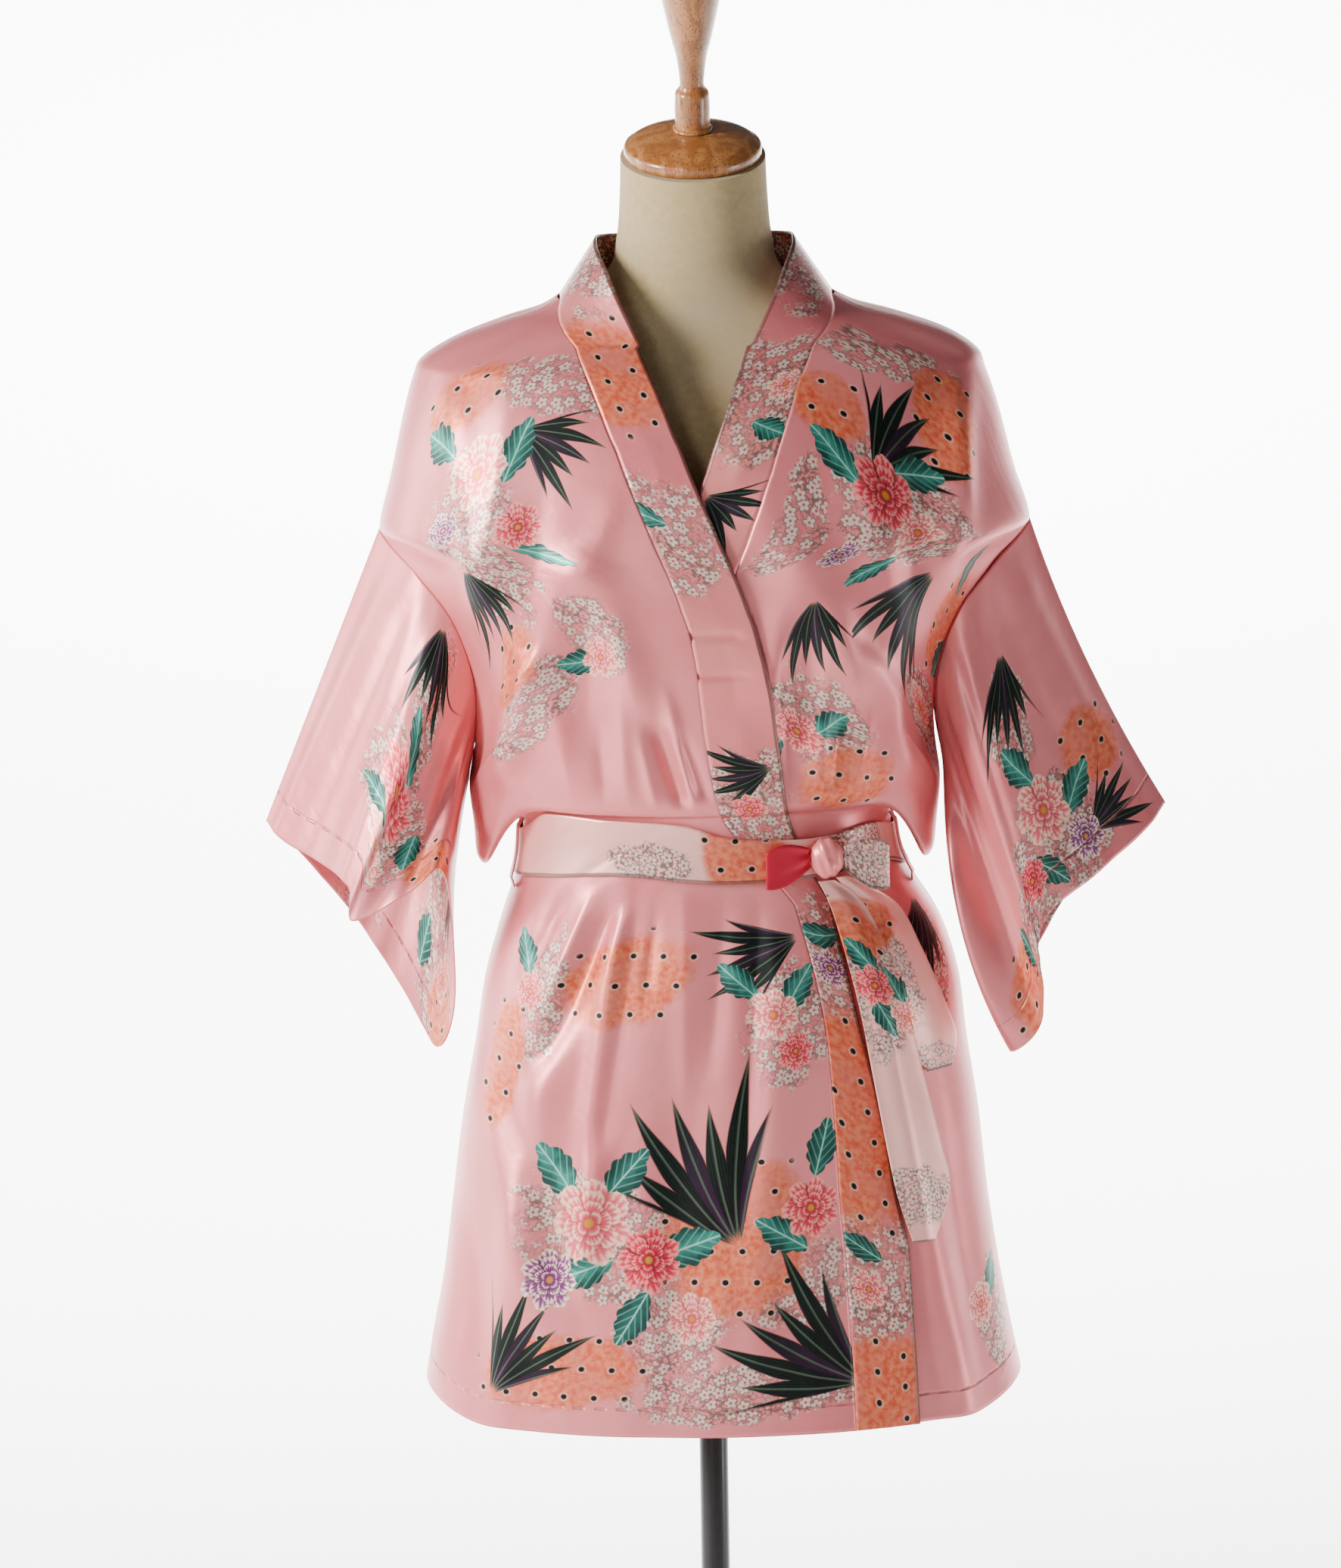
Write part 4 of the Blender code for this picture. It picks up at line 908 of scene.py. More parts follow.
front_upper = lay_cloth(
    "front_upper_satin", 176, 210,
    panel_place(lambda row: SIDE_GAP_TURN - 90 + row * 0, lambda row: seam_turn(TOP_EDGE, row, 2, -SEAM_GAP)),
    CLOTH, satin, "satin", "front_upper",
)
UPPER_MOTIFS = {
    "flower": [
        (-0.092, -0.14, 0.69, 0.036, 15, 0.7), (-0.048, -0.14, 0.655, 0.027, 60, 0.0),
        (-0.122, -0.13, 0.64, 0.024, 30, 2.0), (-0.016, -0.14, 0.612, 0.021, 30, 0.8),
        (0.048, -0.13, 0.845, 0.022, 15, 0.9), (0.07, -0.14, 0.815, 0.016, 45, 0.1),
        (0.078, -0.14, 0.7, 0.025, 10, 0.2), (-0.15, -0.1, 0.862, 0.017, 10, 0.3),
        (-0.158, -0.1, 1.24, 0.027, 20, 0.9), (-0.132, -0.11, 1.208, 0.02, 20, 0.2),
        (-0.176, -0.08, 1.2, 0.016, 20, 2.0), (-0.062, -0.12, 1.12, 0.018, 10, 0.6),
    ],
    "spray": [
        (-0.01, -0.14, 0.735, 0.068, 118), (0.06, -0.14, 0.59, 0.062, 152), (-0.148, -0.13, 0.59, 0.046, 60),
        (0.03, -0.13, 0.885, 0.04, 205), (-0.1, -0.12, 1.262, 0.034, 330), (-0.15, -0.1, 1.155, 0.036, 250),
    ],
    "leaf": [
        (-0.124, -0.14, 0.722, 0.027, 130, 0.9), (-0.064, -0.14, 0.722, 0.025, 50, 0.5),
        (-0.098, -0.14, 0.645, 0.024, 200, 0.8), (-0.018, -0.14, 0.668, 0.026, 20, 0.9),
        (-0.06, -0.14, 0.618, 0.023, 240, 0.4), (0.024, -0.13, 0.868, 0.02, 140, 0.8),
        (0.072, -0.13, 0.858, 0.021, 60, 0.9), (0.052, -0.14, 0.68, 0.023, 150, 0.7),
        (0.088, -0.14, 0.74, 0.022, 80, 0.4), (-0.184, -0.08, 1.262, 0.021, 130, 0.9),
        (-0.132, -0.11, 1.262, 0.022, 60, 0.6), (-0.108, -0.12, 1.186, 0.022, 320, 0.9),
        (-0.088, -0.12, 1.112, 0.019, 170, 0.8), (-0.158, -0.1, 0.89, 0.018, 110, 0.8),
    ],
}
UPPER_PATCHES = {
    "coral": [
        (0.02, -0.14, 0.68, 0.052, 0.052, -25), (-0.118, -0.13, 0.568, 0.062, 0.026, 6),
        (-0.06, -0.12, 0.868, 0.05, 0.03, 18), (-0.132, -0.11, 1.1, 0.026, 0.03, 20),
        (-0.172, -0.08, 1.3, 0.03, 0.024, 0), (-0.168, -0.09, 0.8, 0.018, 0.045, -10),
    ],
    "lace": [
        (-0.16, -0.1, 1.19, 0.034, 0.07, -20), (-0.128, -0.12, 1.07, 0.03, 0.045, 0),
        (-0.105, -0.1, 1.31, 0.05, 0.022, -20), (-0.07, -0.12, 1.14, 0.024, 0.034, 20),
        (-0.075, -0.14, 0.665, 0.08, 0.04, -20), (0.062, -0.13, 0.835, 0.03, 0.04, 0),
        (0.06, -0.14, 0.64, 0.046, 0.03, 0), (0.02, -0.14, 0.56, 0.08, 0.022, 4),
        (-0.14, -0.11, 0.85, 0.018, 0.05, -12), (-0.03, -0.14, 0.6, 0.04, 0.03, 0),
    ],
}
print_cloth(front_upper, UPPER_MOTIFS, UPPER_PATCHES)
front_lower = lay_cloth(
    "front_lower_satin", 120, 210,
    panel_place(
        lambda row: seam_turn(UNDER_EDGE, row, 2, SEAM_GAP), lambda row: 90 - SIDE_GAP_TURN + row * 0, layer_inset
    ),
    CLOTH, satin, "satin", "front_lower",
)
LOWER_MOTIFS = {
    "flower": [
        (0.122, -0.1, 1.222, 0.029, 20, 0.1), (0.156, -0.09, 1.196, 0.021, 50, 1.0),
        (0.092, -0.11, 1.182, 0.017, 0, 2.0), (0.07, -0.12, 1.052, 0.019, 20, 0.4),
        (0.176, -0.07, 1.06, 0.02, 20, 0.9), (0.196, -0.06, 0.6, 0.018, 20, 0.8),
    ],
    "spray": [
        (0.15, -0.1, 1.262, 0.044, 50), (0.142, -0.11, 1.13, 0.05, 268), (0.086, -0.12, 1.13, 0.034, 300),
        (0.176, -0.08, 0.885, 0.04, 250),
    ],
    "leaf": [
        (0.096, -0.1, 1.25, 0.022, 140, 0.9), (0.152, -0.09, 1.236, 0.022, 20, 0.7),
        (0.12, -0.11, 1.178, 0.022, 250, 0.9), (0.182, -0.07, 1.178, 0.02, 320, 0.4),
        (0.096, -0.12, 1.058, 0.019, 30, 0.9), (0.05, -0.13, 1.036, 0.017, 220, 0.5),
        (0.196, -0.06, 1.088, 0.019, 80, 0.8), (0.212, -0.05, 0.618, 0.018, 60, 0.8),
    ],
}
LOWER_PATCHES = {
    "coral": [
        (0.092, -0.1, 1.29, 0.026, 0.024, 0), (0.182, -0.07, 1.27, 0.024, 0.04, -10),
        (0.112, -0.12, 1.01, 0.036, 0.026, 10), (0.182, -0.07, 1.125, 0.022, 0.034, 0),
    ],
    "lace": [
        (0.14, -0.1, 1.205, 0.058, 0.04, -15), (0.07, -0.12, 1.2, 0.018, 0.044, 0),
        (0.14, -0.08, 1.32, 0.05, 0.018, 10), (0.086, -0.12, 1.06, 0.036, 0.036, 0),
        (0.18, -0.07, 1.055, 0.028, 0.036, 0), (0.205, -0.05, 0.59, 0.022, 0.036, 0),
        (0.185, -0.07, 0.86, 0.018, 0.04, 0),
    ],
}
print_cloth(front_lower, LOWER_MOTIFS, LOWER_PATCHES)

# Neckband: one long doubled strip of the same printed satin, sewn to both fronts and the back of the neck. It
# is edged with a thin dark line and stands up a little round the neck.
# Free edge round the neck, from the front to the middle of the back: x, y, z
NECK_BAND = [
    (0.0400, -0.0935, 1.3355), (0.0550, -0.0790, 1.3660), (0.0660, -0.0560, 1.3900), (0.0740, -0.0040, 1.4060),
    (0.0640, 0.0420, 1.4070), (0.0000, 0.0720, 1.4040),
]
BAND_START_ROW = 26
BAND_FRONT_STEPS = 220
BAND_BACK_STEPS = 50


def band_lines(side):
    """Lines along one half of the band, from hem to back: its seam, its middle and its free edge."""
    table = TOP_EDGE if side < 0 else UNDER_EDGE
    row = np.linspace(0, TOP_ROW, BAND_FRONT_STEPS)
    turns = [seam_turn(table, row, 2), seam_turn(table, row, 1)]
    turns.insert(1, (turns[0] + turns[1]) / 2)
    inset = [layer_inset(body(row, turn)[:, 0], row) if side > 0 else 0.0 for turn in turns]
    seam, middle, edge = (body(row, turn, depth) for turn, depth in zip(turns, inset))
    back_turn = np.linspace(100, 180, BAND_BACK_STEPS)
    back_row = np.full(BAND_BACK_STEPS, TOP_ROW)
    neck_place = np.concatenate([row - BAND_START_ROW, 3 + 2 * (back_turn - 90) / 90])
    seam = np.concatenate([seam, body(back_row, side * back_turn)])
    stood = neck_place > 0
    neck = smooth_rows(NECK_BAND, neck_place) * (side, 1, 1)
    edge = np.where(stood[:, None], neck, np.concatenate([edge, neck[len(row):]]))
    middle = np.where(stood[:, None], (seam + edge) / 2, np.concatenate([middle, neck[len(row):]]))
    away = middle - seam
    seam = seam + away / np.linalg.norm(away, axis=1)[:, None] * SEAM_GAP * 2
    return np.concatenate([seam, middle, edge], axis=1)


band_net = np.concatenate([band_lines(-1), band_lines(1)[-2::-1]])


def band_place(along, up):
    """Points of the band: along it from the upper front to the lower, up from its free edge to its seam."""
    seam, middle, edge = np.split(smooth_rows(band_net, along * (len(band_net) - 1)), 3, axis=1)
    low = (up * 2)[:, None]
    return np.where(low <= 1, edge + (middle - edge) * low, middle + (seam - middle) * (low - 1))


# Two small tucks across the band at the bust: place along it, half-width along it, depth
BAND_TUCKS = [(0.2494, 0.0011, 0.0014), (0.2619, 0.0011, 0.0018)]


def tuck_relief(along, up):
    """Grooves of the band's two tucks, which end short of its free edge."""
    rise = np.zeros_like(along)
    for place, half_width, depth in BAND_TUCKS:
        rise -= depth * np.exp(-(((along - place) / half_width) ** 2)) * ease((up - 0.15) / 0.2)
    return rise


BAND_PINK = (0.79, 0.24, 0.225)
band_satin = make_satin("neckband_satin", BAND_PINK, DEEP_PINK, edge_line=0.0012)
neckband = lay_cloth(
    "neckband_satin", 1040, 16, band_place, DOUBLE_CLOTH, band_satin, "satin", "neckband", relief=tuck_relief
)
BAND_MOTIFS = {
    "flower": [
        (-0.03, -0.12, 1.19, 0.015, 0, 0.8), (0.034, -0.13, 0.988, 0.015, 40, 0.2),
        (0.062, -0.09, 1.3, 0.015, 40, 1.0), (0.1, -0.13, 0.875, 0.016, 30, 2.0), (0.124, -0.14, 0.63, 0.016, 0, 0.7),
    ],
    "leaf": [
        (-0.042, -0.11, 1.215, 0.017, 70, 0.9), (-0.016, -0.12, 1.165, 0.015, 110, 0.5),
        (0.048, -0.1, 1.27, 0.016, 60, 0.9), (0.094, -0.13, 0.9, 0.018, 100, 0.8),
        (0.118, -0.14, 0.662, 0.017, 60, 0.4),
    ],
    "spray": [
        (0.022, -0.13, 1.02, 0.028, 100), (0.028, -0.11, 1.215, 0.028, 60),
    ],
}
BAND_PATCHES = {
    "coral": [
        (0.008, -0.13, 1.09, 0.07, 0.08, 0), (0.112, -0.14, 0.76, 0.075, 0.08, 0),
        (-0.075, -0.09, 1.31, 0.045, 0.06, 0), (0.145, -0.14, 0.55, 0.04, 0.06, 0),
    ],
    "lace": [
        (-0.035, -0.12, 1.2, 0.045, 0.05, 0), (0.045, -0.13, 0.98, 0.045, 0.06, 0),
        (0.098, -0.13, 0.88, 0.045, 0.06, 0), (0.055, -0.09, 1.29, 0.05, 0.06, 0), (0.0, 0.07, 1.4, 0.2, 0.06, 0),
        (0.122, -0.14, 0.64, 0.05, 0.06, 0),
    ],
}
print_cloth(neckband, BAND_MOTIFS, BAND_PATCHES)

# Sleeves: two wide straight tubes set into the armholes, open at the cuffs. They hang flat from the
# shoulders, and their inner halves fall to a low tip under the arm.
# Cuff of the -X sleeve: place round the cuff, x, y, z, bow in x, bow in y
RAISED_CUFF = [
    (0.00, 0.3307, 0.000, 0.9713, 0.000, 0.000), (0.08, 0.3150, -0.022, 0.9580, 0.000, 0.000),
    (0.16, 0.2830, -0.055, 0.9450, 0.000, -0.006), (0.22, 0.2655, -0.078, 0.9330, 0.000, -0.010),
    (0.27, 0.2640, -0.084, 0.9090, 0.000, -0.008), (0.34, 0.2250, -0.086, 0.9270, 0.000, 0.006),
    (0.40, 0.1960, -0.084, 0.9480, 0.000, 0.000), (0.45, 0.1900, -0.040, 0.8950, 0.004, -0.010),
    (0.50, 0.1915, 0.002, 0.8230, 0.006, -0.004), (0.55, 0.2070, 0.030, 0.7880, 0.004, 0.004),
    (0.63, 0.2330, 0.052, 0.8300, 0.000, 0.008), (0.73, 0.2660, 0.064, 0.8800, 0.000, 0.010),
    (0.86, 0.3030, 0.040, 0.9330, 0.000, 0.004),
]
# Cuff of the +X sleeve, in the same columns
HANGING_CUFF = [
    (0.00, 0.3493, 0.000, 0.9736, -0.008, 0.000), (0.08, 0.3277, -0.026, 0.9530, -0.006, 0.000),
    (0.16, 0.2900, -0.056, 0.9270, -0.004, -0.004), (0.22, 0.2600, -0.076, 0.9090, 0.000, -0.010),
    (0.28, 0.2480, -0.082, 0.8820, 0.000, -0.010), (0.34, 0.2512, -0.078, 0.8550, 0.000, 0.002),
    (0.41, 0.2480, -0.070, 0.8150, -0.004, -0.010), (0.48, 0.2277, -0.056, 0.7950, -0.016, -0.040),
    (0.54, 0.2300, -0.010, 0.8100, -0.006, 0.010), (0.64, 0.2480, 0.040, 0.8450, 0.000, 0.012),
    (0.76, 0.2800, 0.060, 0.8950, 0.000, 0.010), (0.88, 0.3200, 0.036, 0.9420, 0.000, 0.004),
]
ARMHOLE_GAP = 0.0001
# Place round the sleeve at the armhole, at the cuff, half-width round it, rise
SLEEVE_CREASES = [
    (0.06, 0.05, 0.020, 0.0022), (0.11, 0.12, 0.018, -0.0024), (0.17, 0.20, 0.016, 0.0020),
    (0.24, 0.26, 0.014, -0.0022), (0.30, 0.33, 0.018, 0.0024), (0.38, 0.40, 0.014, -0.0018),
    (0.62, 0.58, 0.022, 0.0022), (0.70, 0.69, 0.018, -0.0024), (0.80, 0.82, 0.022, 0.0022),
    (0.90, 0.92, 0.018, -0.0020),
]


def sleeve_place(side, cuff):
    """Make the placing function of a sleeve: round its section, and down from armhole to cuff."""
    wrapped = [*cuff, (1.0, *cuff[0][1:])]
    ratio = SECTIONS[ARMHOLE_TOP_ROW][3 if side > 0 else 2] / SECTIONS[ARMHOLE_TOP_ROW][2]

    def place(around, down):
        share = np.where(around <= 0.5, around * 2, 2 - around * 2)
        row = ARMHOLE_TOP_ROW - share * (ARMHOLE_TOP_ROW - UNDERARM_ROW)
        facing = np.where(around <= 0.5, -1.0, 1.0)
        reach, depth = smooth_rows(ARMHOLE, row - UNDERARM_ROW).T
        side_z = smooth_rows(SECTIONS, row)[:, 1] - ARMHOLE_GAP / 2
        start = np.stack([side * (reach * ratio + ARMHOLE_GAP), facing * depth, side_z], 1)
        _, x, y, z, bow_x, bow_y = read_at(wrapped, around).T
        end = np.stack([side * x, y, z], 1)
        bow = np.stack([side * bow_x, bow_y, np.zeros_like(bow_x)], 1)
        return start + (end - start) * down[:, None] + bow * (4 * down * (1 - down))[:, None]

    return place


def sleeve_relief(flip):
    """Creases that run down a sleeve, strongest in its middle."""

    def relief(around, up):
        around = 1 - around if flip else around
        rise = np.zeros_like(around)
        for high, low, half_width, height in SLEEVE_CREASES:
            line = low + (high - low) * up
            rise += height * np.exp(-(((around - line) / half_width) ** 2))
        return rise * ease((1 - up) / 0.2) * (0.55 + 0.45 * np.cos((up - 0.4) * 2.2))

    return relief


raised = sleeve_place(-1, RAISED_CUFF)
sleeve_raised = lay_cloth(
    "sleeve_raised_satin", 240, 120, lambda around, up: raised(around, 1 - up),
    CLOTH, satin, "satin", "sleeve_raised", closed=True, relief=sleeve_relief(False),
)
RAISED_MOTIFS = {
    "flower": [
        (-0.222, -0.09, 1.002, 0.03, 0, 0.1), (-0.242, -0.09, 0.962, 0.02, 0, 1.0),
        (-0.212, 0.02, 0.84, 0.02, 0, 0.6), (-0.26, 0.06, 0.985, 0.034, 0, 0.3),
    ],
    "leaf": [
        (-0.205, -0.09, 1.038, 0.021, 100, 0.9), (-0.252, -0.09, 1.01, 0.02, 160, 0.6),
        (-0.218, -0.09, 0.962, 0.02, 230, 0.9), (-0.225, 0.03, 0.87, 0.02, 100, 0.5),
        (-0.24, 0.06, 1.03, 0.028, 40, 0.8), (-0.275, 0.05, 1.01, 0.026, 120, 0.8),
    ],
    "spray": [
        (-0.198, -0.09, 1.092, 0.036, 280), (-0.2, 0.01, 0.9, 0.032, 250),
    ],
}
RAISED_PATCHES = {
    "lace": [
        (-0.232, -0.09, 0.985, 0.04, 0.048, 0), (-0.196, -0.09, 1.07, 0.018, 0.05, 0),
        (-0.215, 0.03, 0.85, 0.04, 0.07, 0), (-0.26, 0.06, 0.96, 0.05, 0.05, 0),
    ],
    "coral": [
        (-0.21, -0.09, 0.96, 0.024, 0.022, 0), (-0.212, 0.02, 0.81, 0.026, 0.03, 0),
    ],
}
print_cloth(sleeve_raised, RAISED_MOTIFS, RAISED_PATCHES)
hanging = sleeve_place(1, HANGING_CUFF)
sleeve_hanging = lay_cloth(
    "sleeve_hanging_satin", 240, 120, lambda around, up: hanging(1 - around, 1 - up),
    CLOTH, satin, "satin", "sleeve_hanging", closed=True, relief=sleeve_relief(True),
)
HANGING_MOTIFS = {
    "flower": [
        (0.262, -0.08, 0.985, 0.029, 0, 0.8), (0.292, -0.06, 0.96, 0.02, 0, 2.0), (0.244, -0.08, 0.93, 0.018, 0, 0.0),
        (0.3, 0.05, 0.99, 0.034, 0, 0.9),
    ],
    "leaf": [
        (0.29, -0.06, 1.0, 0.023, 30, 0.8), (0.24, -0.09, 1.018, 0.022, 120, 0.9),
        (0.262, -0.08, 0.938, 0.019, 300, 0.4), (0.246, -0.07, 0.88, 0.02, 100, 0.9),
        (0.27, 0.06, 0.95, 0.028, 60, 0.7),
    ],
    "spray": [
        (0.234, -0.09, 1.062, 0.038, 262), (0.318, -0.04, 0.985, 0.03, 10),
    ],
}
HANGING_PATCHES = {
    "coral": [
        (0.304, -0.05, 1.03, 0.028, 0.026, -30), (0.246, -0.07, 0.845, 0.026, 0.03, 0),
    ],
    "lace": [
        (0.275, -0.07, 0.97, 0.05, 0.04, -10), (0.238, -0.09, 1.05, 0.022, 0.04, 0),
        (0.246, -0.08, 0.89, 0.034, 0.034, 0), (0.28, 0.06, 0.92, 0.05, 0.06, 0),
    ],
}
print_cloth(sleeve_hanging, HANGING_MOTIFS, HANGING_PATCHES)

# Belt: a folded strip of the same satin, drawn round the waist through a thin loop at each side seam and
# tied in a small flat bow at the viewer's right, with two slanted tails.
BELT_LIFT = 0.0034
LIFT_TURN = 2.0
# Turn from the front, middle height, width
BELT = [
    (-180.0, 0.9640, 0.044), (-120.0, 0.9620, 0.046), (-90.0, 0.9500, 0.033), (-76.0, 0.9520, 0.036),
    (-58.0, 0.9615, 0.047), (-26.0, 0.9645, 0.041), (-6.0, 0.9610, 0.042), (8.0, 0.9550, 0.034),
    (25.0, 0.9540, 0.030), (40.0, 0.9550, 0.028), (60.0, 0.9600, 0.028), (90.0, 0.9500, 0.032),
    (120.0, 0.9620, 0.044), (180.0, 0.9640, 0.044),
]
FRONT_HEIGHTS = [section[0] for section in SECTIONS]


def row_at(height):
    """Section rows at heights."""
    return np.interp(height, FRONT_HEIGHTS, range(len(FRONT_HEIGHTS)))


def lifted(turn, height, lift):
    """Points at turns and heights near the waist, lifted straight off the robe."""
    row = row_at(height)
    points = body(row, turn, 0.0, False)
    along = body(row, turn + LIFT_TURN, 0.0, False) - body(row, turn - LIFT_TURN, 0.0, False)
    outward = np.stack([along[:, 1], -along[:, 0]], 1)
    outward /= np.linalg.norm(outward, axis=1)[:, None]
    spots = points[:, :2] + outward * np.reshape(lift, (-1, 1))
    return np.stack([spots[:, 0], spots[:, 1], height], 1)


def belt_place(around, up):
    """Points of the belt round the waist, outside the robe."""
    turn = around * 360 - 180
    _, middle_z, width = read_at(BELT, turn).T
    return lifted(turn, middle_z + (up - 0.5) * width, BELT_LIFT)


# Turn from the front at the lower edge, at the upper edge, half-width in turns, rise
BELT_CREASES = [
    (-70, -30, 4.0, 0.0006), (-40, -12, 3.0, -0.0006), (10, 42, 3.5, -0.0007), (26, 30, 2.5, 0.0006),
    (48, 60, 3.0, 0.0006), (-120, -100, 4.0, 0.0006), (110, 130, 4.0, -0.0006), (150, 165, 4.0, 0.0005),
]


def belt_relief(around, up):
    """Shallow drag lines of the tied belt."""
    rise = np.zeros_like(around)
    for low, high, half_width, height in BELT_CREASES:
        rise += height * np.exp(-(((around * 360 - 180 - low - (high - low) * up) / half_width) ** 2))
    return rise


BELT_PINK = (0.94, 0.50, 0.45)
belt_satin = make_satin("belt_satin", BELT_PINK, (0.88, 0.38, 0.34), edge_line=0.0010)
belt = lay_cloth(
    "belt_satin", 360, 20, belt_place, DOUBLE_CLOTH, belt_satin, "satin_belt", "belt", closed=True, relief=belt_relief
)
BELT_PATCHES = {
    "coral": [
        (0.03, -0.12, 0.96, 0.03, 0.04, 0), (0.1, 0.09, 0.96, 0.06, 0.04, 0),
    ],
    "lace": [
        (-0.04, -0.11, 0.955, 0.03, 0.014, 0), (0.125, -0.1, 0.96, 0.03, 0.04, 0), (0.0, 0.11, 0.97, 0.08, 0.04, 0),
    ],
}
print_cloth(belt, {}, BELT_PATCHES)

# Thin loops at the side seams, each a narrow turned strip sewn at both ends.
BELT_LOOP_TURN = 80
BELT_LOOP_WIDTH_TURN = 3.5
# Height, lift off the robe
BELT_LOOP = [
    (0.9230, 0.0006), (0.9280, 0.0034), (0.9320, 0.0050), (0.9500, 0.0050), (0.9680, 0.0050), (0.9720, 0.0034),
    (0.9760, 0.0006),
]
plain_satin = make_satin("plain_satin", PINK, DEEP_PINK, printed=False)


def belt_loop_place(side):
    """Make the placing function of the thin loop that carries the belt at a side seam."""

    def place(across, up):
        height, lift = smooth_rows(BELT_LOOP, up * (len(BELT_LOOP) - 1)).T
        return lifted(side * BELT_LOOP_TURN + (across - 0.5) * BELT_LOOP_WIDTH_TURN, height, lift + CLOTH)

    return place


belt_loop_left = lay_cloth(
    "belt_loop_left_satin", 8, 36, belt_loop_place(-1), CLOTH, plain_satin, "satin", "belt_loop_left"
)
belt_loop_right = lay_cloth(
    "belt_loop_right_satin", 8, 36, belt_loop_place(1), CLOTH, plain_satin, "satin", "belt_loop_right"
)

# Knot and bow: the belt's two ends cross in one tight knot and turn back in two short loops, one of which
# shows a red part of the print.
KNOT_X = 0.0905
KNOT_Z = 0.9550
KNOT_HALF = (0.0125, 0.0085, 0.0165)
KNOT_LIFT = 0.0146
LOOP_HALF_DEPTH = 0.0031
LOOP_GAP = 0.0002
LOOP_TURN_BACK = 0.38


def front_surface(x, height):
    """Points of the robe's front at an x and a height below the belt's top."""
    row = row_at(height)
    return body(row, turn_of(x, row), 0.0, False)


knot_y = front_surface(np.array([KNOT_X]), np.array([KNOT_Z]))[0, 1] - KNOT_LIFT


def bow_place(side, reach, height, slope):
    """Make the placing function of a flattened bow loop, from the knot out and back."""
    start_x = KNOT_X + side * (KNOT_HALF[0] + LOOP_GAP)

    def place(around, up):
        angle = 2 * math.pi * (around if side > 0 else 1 - around)
        along = (1 - np.cos(angle)) / 2
        x = start_x + side * reach * along
        apart = LOOP_HALF_DEPTH * np.sign(np.sin(angle)) * np.abs(np.sin(angle)) ** 0.5
        spread = 0.45 + 0.55 * np.sin(math.pi * 0.72 * along)
        y = knot_y + LOOP_TURN_BACK * (x - start_x) - apart
        return np.stack([x, y, KNOT_Z + (up - 0.5) * height * spread - slope * reach * along], 1)

    return place


def bow_relief(around, up):
    """Gathers that fan out of the knot into a bow loop."""
    near_knot = (1 + np.cos(2 * math.pi * around)) / 2
    return 0.0007 * np.cos(up * 4 * math.pi) * near_knot


red_satin = make_satin("red_satin", (0.55, 0.015, 0.045), (0.36, 0.006, 0.02), printed=False)
bow_loop_left = lay_cloth(
    "bow_loop_left_satin", 96, 24, bow_place(-1, 0.0330, 0.031, 0.22), CLOTH, red_satin, "satin_belt",
    "bow_loop_left", closed=True, relief=bow_relief,
)
bow_loop_right = lay_cloth(
    "bow_loop_right_satin", 96, 24, bow_place(1, 0.0340, 0.038, 0.28), CLOTH, belt_satin, "satin_belt",
    "bow_loop_right", closed=True, relief=bow_relief,
)
print_cloth(bow_loop_right, {}, {"lace": [(KNOT_X + 0.03, -0.11, KNOT_Z, 0.05, 0.04, 0)]})
knot_shape = bmesh.new()
bmesh.ops.create_uvsphere(knot_shape, u_segments=96, v_segments=64, radius=1)
for vert in knot_shape.verts:
    wrap = math.atan2(vert.co.z, vert.co.x)
    groove = 0.045 * math.cos(wrap * 2 + vert.co.y * 4) + 0.03 * math.cos(vert.co.x * 9 + vert.co.z * 5)
    vert.co *= 0.955 + groove
bmesh.ops.scale(knot_shape, vec=KNOT_HALF, verts=knot_shape.verts)
bmesh.ops.translate(knot_shape, vec=(KNOT_X, knot_y, KNOT_Z), verts=knot_shape.verts)
knot_cut = knot_shape.loops.layers.uv.new("cut")
for face in knot_shape.faces:
    for loop in face.loops:
        loop[knot_cut].uv = (loop.vert.co.x, loop.vert.co.z)
knot_satin = make_satin("knot_satin", (0.80, 0.26, 0.25), (0.66, 0.14, 0.15), printed=False)
finish_piece("knot_satin", knot_shape, knot_satin, "satin_belt", "knot")

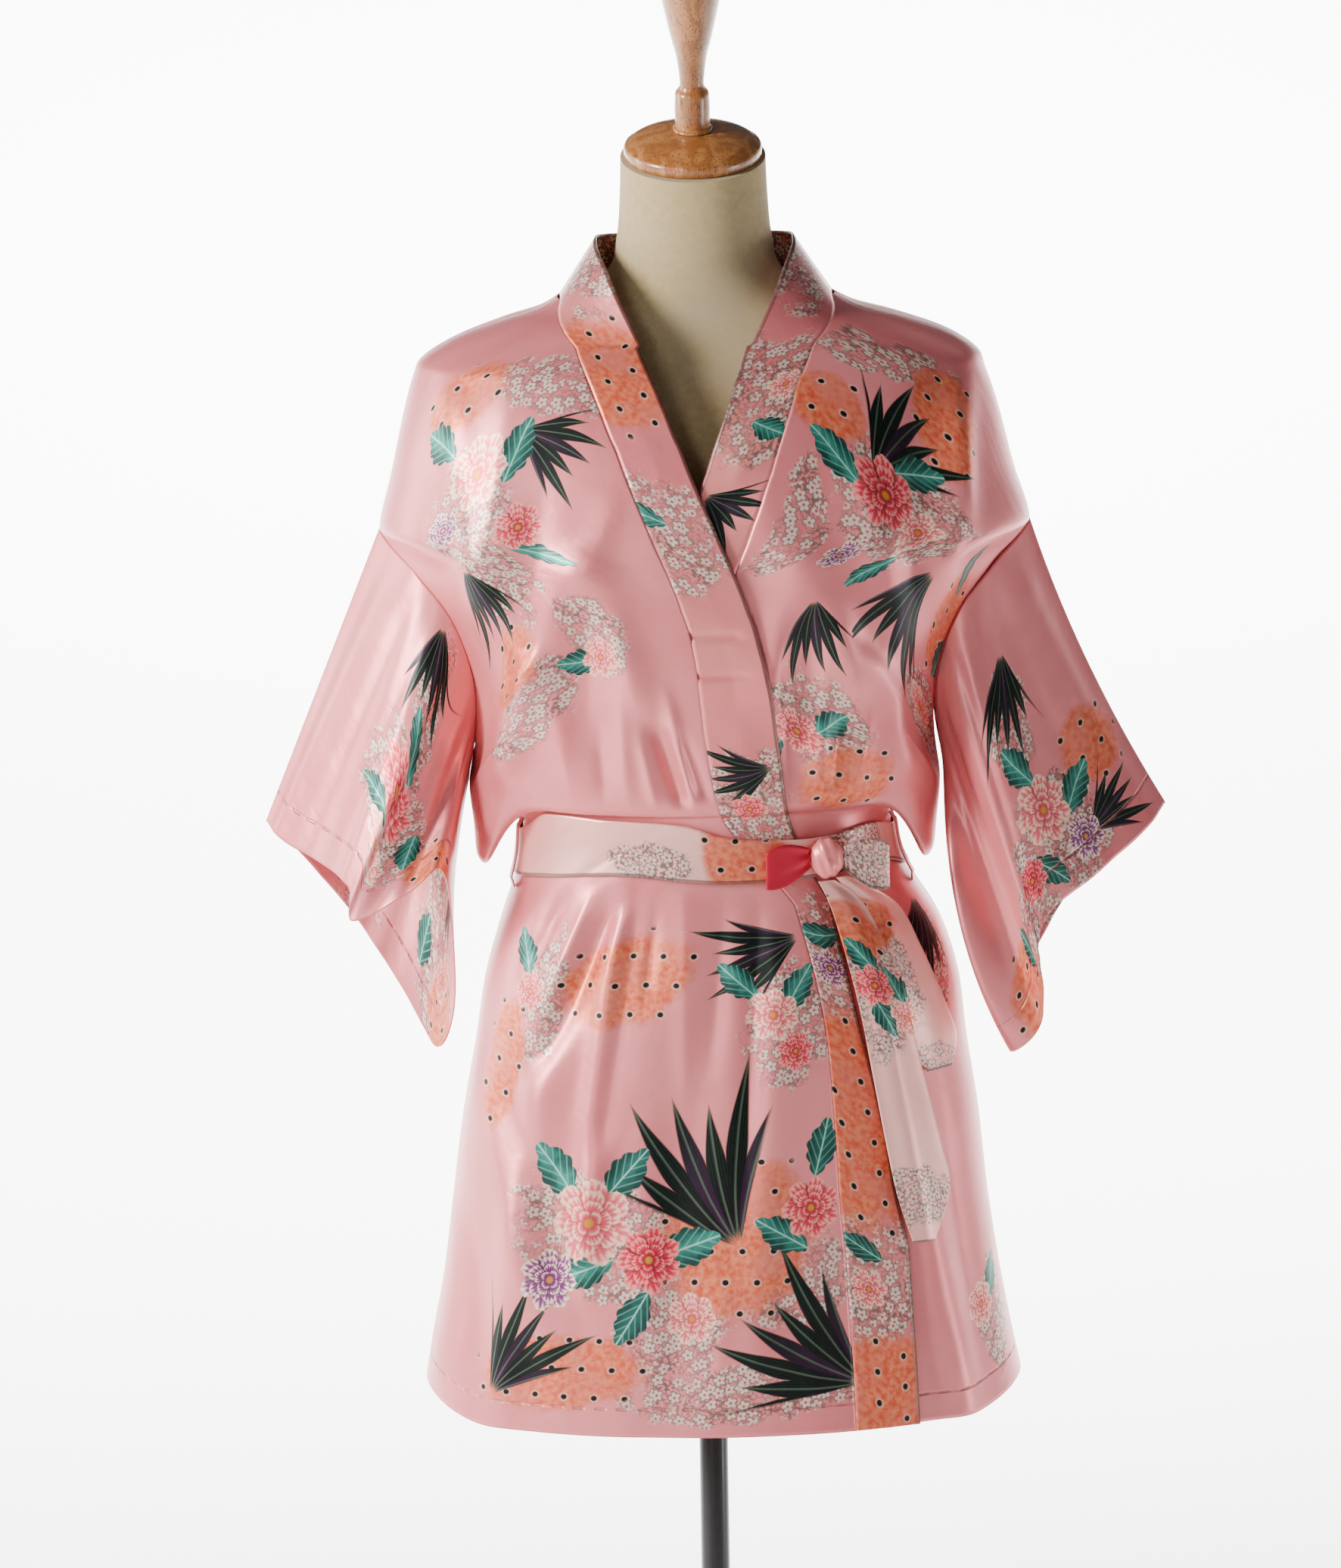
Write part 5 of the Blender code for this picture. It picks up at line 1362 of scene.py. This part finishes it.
# Tails: the belt's two loose ends, which hang in front of the skirt and end in a slant.
# Middle x, height, width, lift off the skirt
FRONT_TAIL = [
    (0.0900, 0.9383, 0.012, 0.0140), (0.1080, 0.9150, 0.026, 0.0150), (0.1290, 0.8520, 0.035, 0.0150),
    (0.1420, 0.7900, 0.038, 0.0140), (0.1530, 0.7370, 0.041, 0.0130), (0.1600, 0.7000, 0.040, 0.0125),
    (0.1590, 0.6640, 0.016, 0.0120),
]
REAR_TAIL = [
    (0.1012, 0.9402, 0.009, 0.0140), (0.1290, 0.9150, 0.028, 0.0080), (0.1440, 0.8800, 0.036, 0.0080),
    (0.1600, 0.8350, 0.040, 0.0070), (0.1690, 0.8080, 0.038, 0.0065), (0.1740, 0.7880, 0.018, 0.0065),
]


def tail_place(table):
    """Make the placing function of a belt tail that hangs in front of the skirt."""

    def place(across, up):
        middle_x, height, width, lift = smooth_rows(table, (1 - up) * (len(table) - 1)).T
        x = middle_x + (across - 0.5) * width
        y = front_surface(x, height)[:, 1] - lift
        return np.stack([x, y, height], 1)

    return place


def tail_relief(across, up):
    """A soft lengthwise crease that fades down a tail."""
    return (0.0014 * np.cos((across - 0.45) * 7) - 0.0006) * (0.3 + 0.7 * up) * ease(up * 6) * ease((1 - up) * 6)


tail_front = lay_cloth(
    "tail_front_satin", 40, 150, tail_place(FRONT_TAIL), DOUBLE_CLOTH, belt_satin, "satin_belt", "tail_front",
    relief=tail_relief,
)
TAIL_PATCHES = {
    "lace": [
        (0.128, -0.13, 0.85, 0.03, 0.04, 0), (0.155, -0.13, 0.7, 0.04, 0.022, 0), (0.15, -0.12, 0.87, 0.024, 0.04, 0),
    ],
    "coral": [
        (0.108, -0.13, 0.905, 0.024, 0.022, 0),
    ],
}
TAIL_MOTIFS = {
    "flower": [
        (0.128, -0.13, 0.862, 0.018, 20, 0.2), (0.164, -0.12, 0.835, 0.017, 0, 0.9),
    ],
    "leaf": [
        (0.118, -0.13, 0.885, 0.017, 120, 0.9), (0.138, -0.13, 0.838, 0.017, 290, 0.6),
        (0.154, -0.12, 0.862, 0.016, 110, 0.8),
    ],
}
print_cloth(tail_front, TAIL_MOTIFS, TAIL_PATCHES)
tail_rear = lay_cloth(
    "tail_rear_satin", 40, 100, tail_place(REAR_TAIL), DOUBLE_CLOTH, belt_satin, "satin_belt", "tail_rear",
    relief=tail_relief,
)
print_cloth(tail_rear, TAIL_MOTIFS, TAIL_PATCHES)
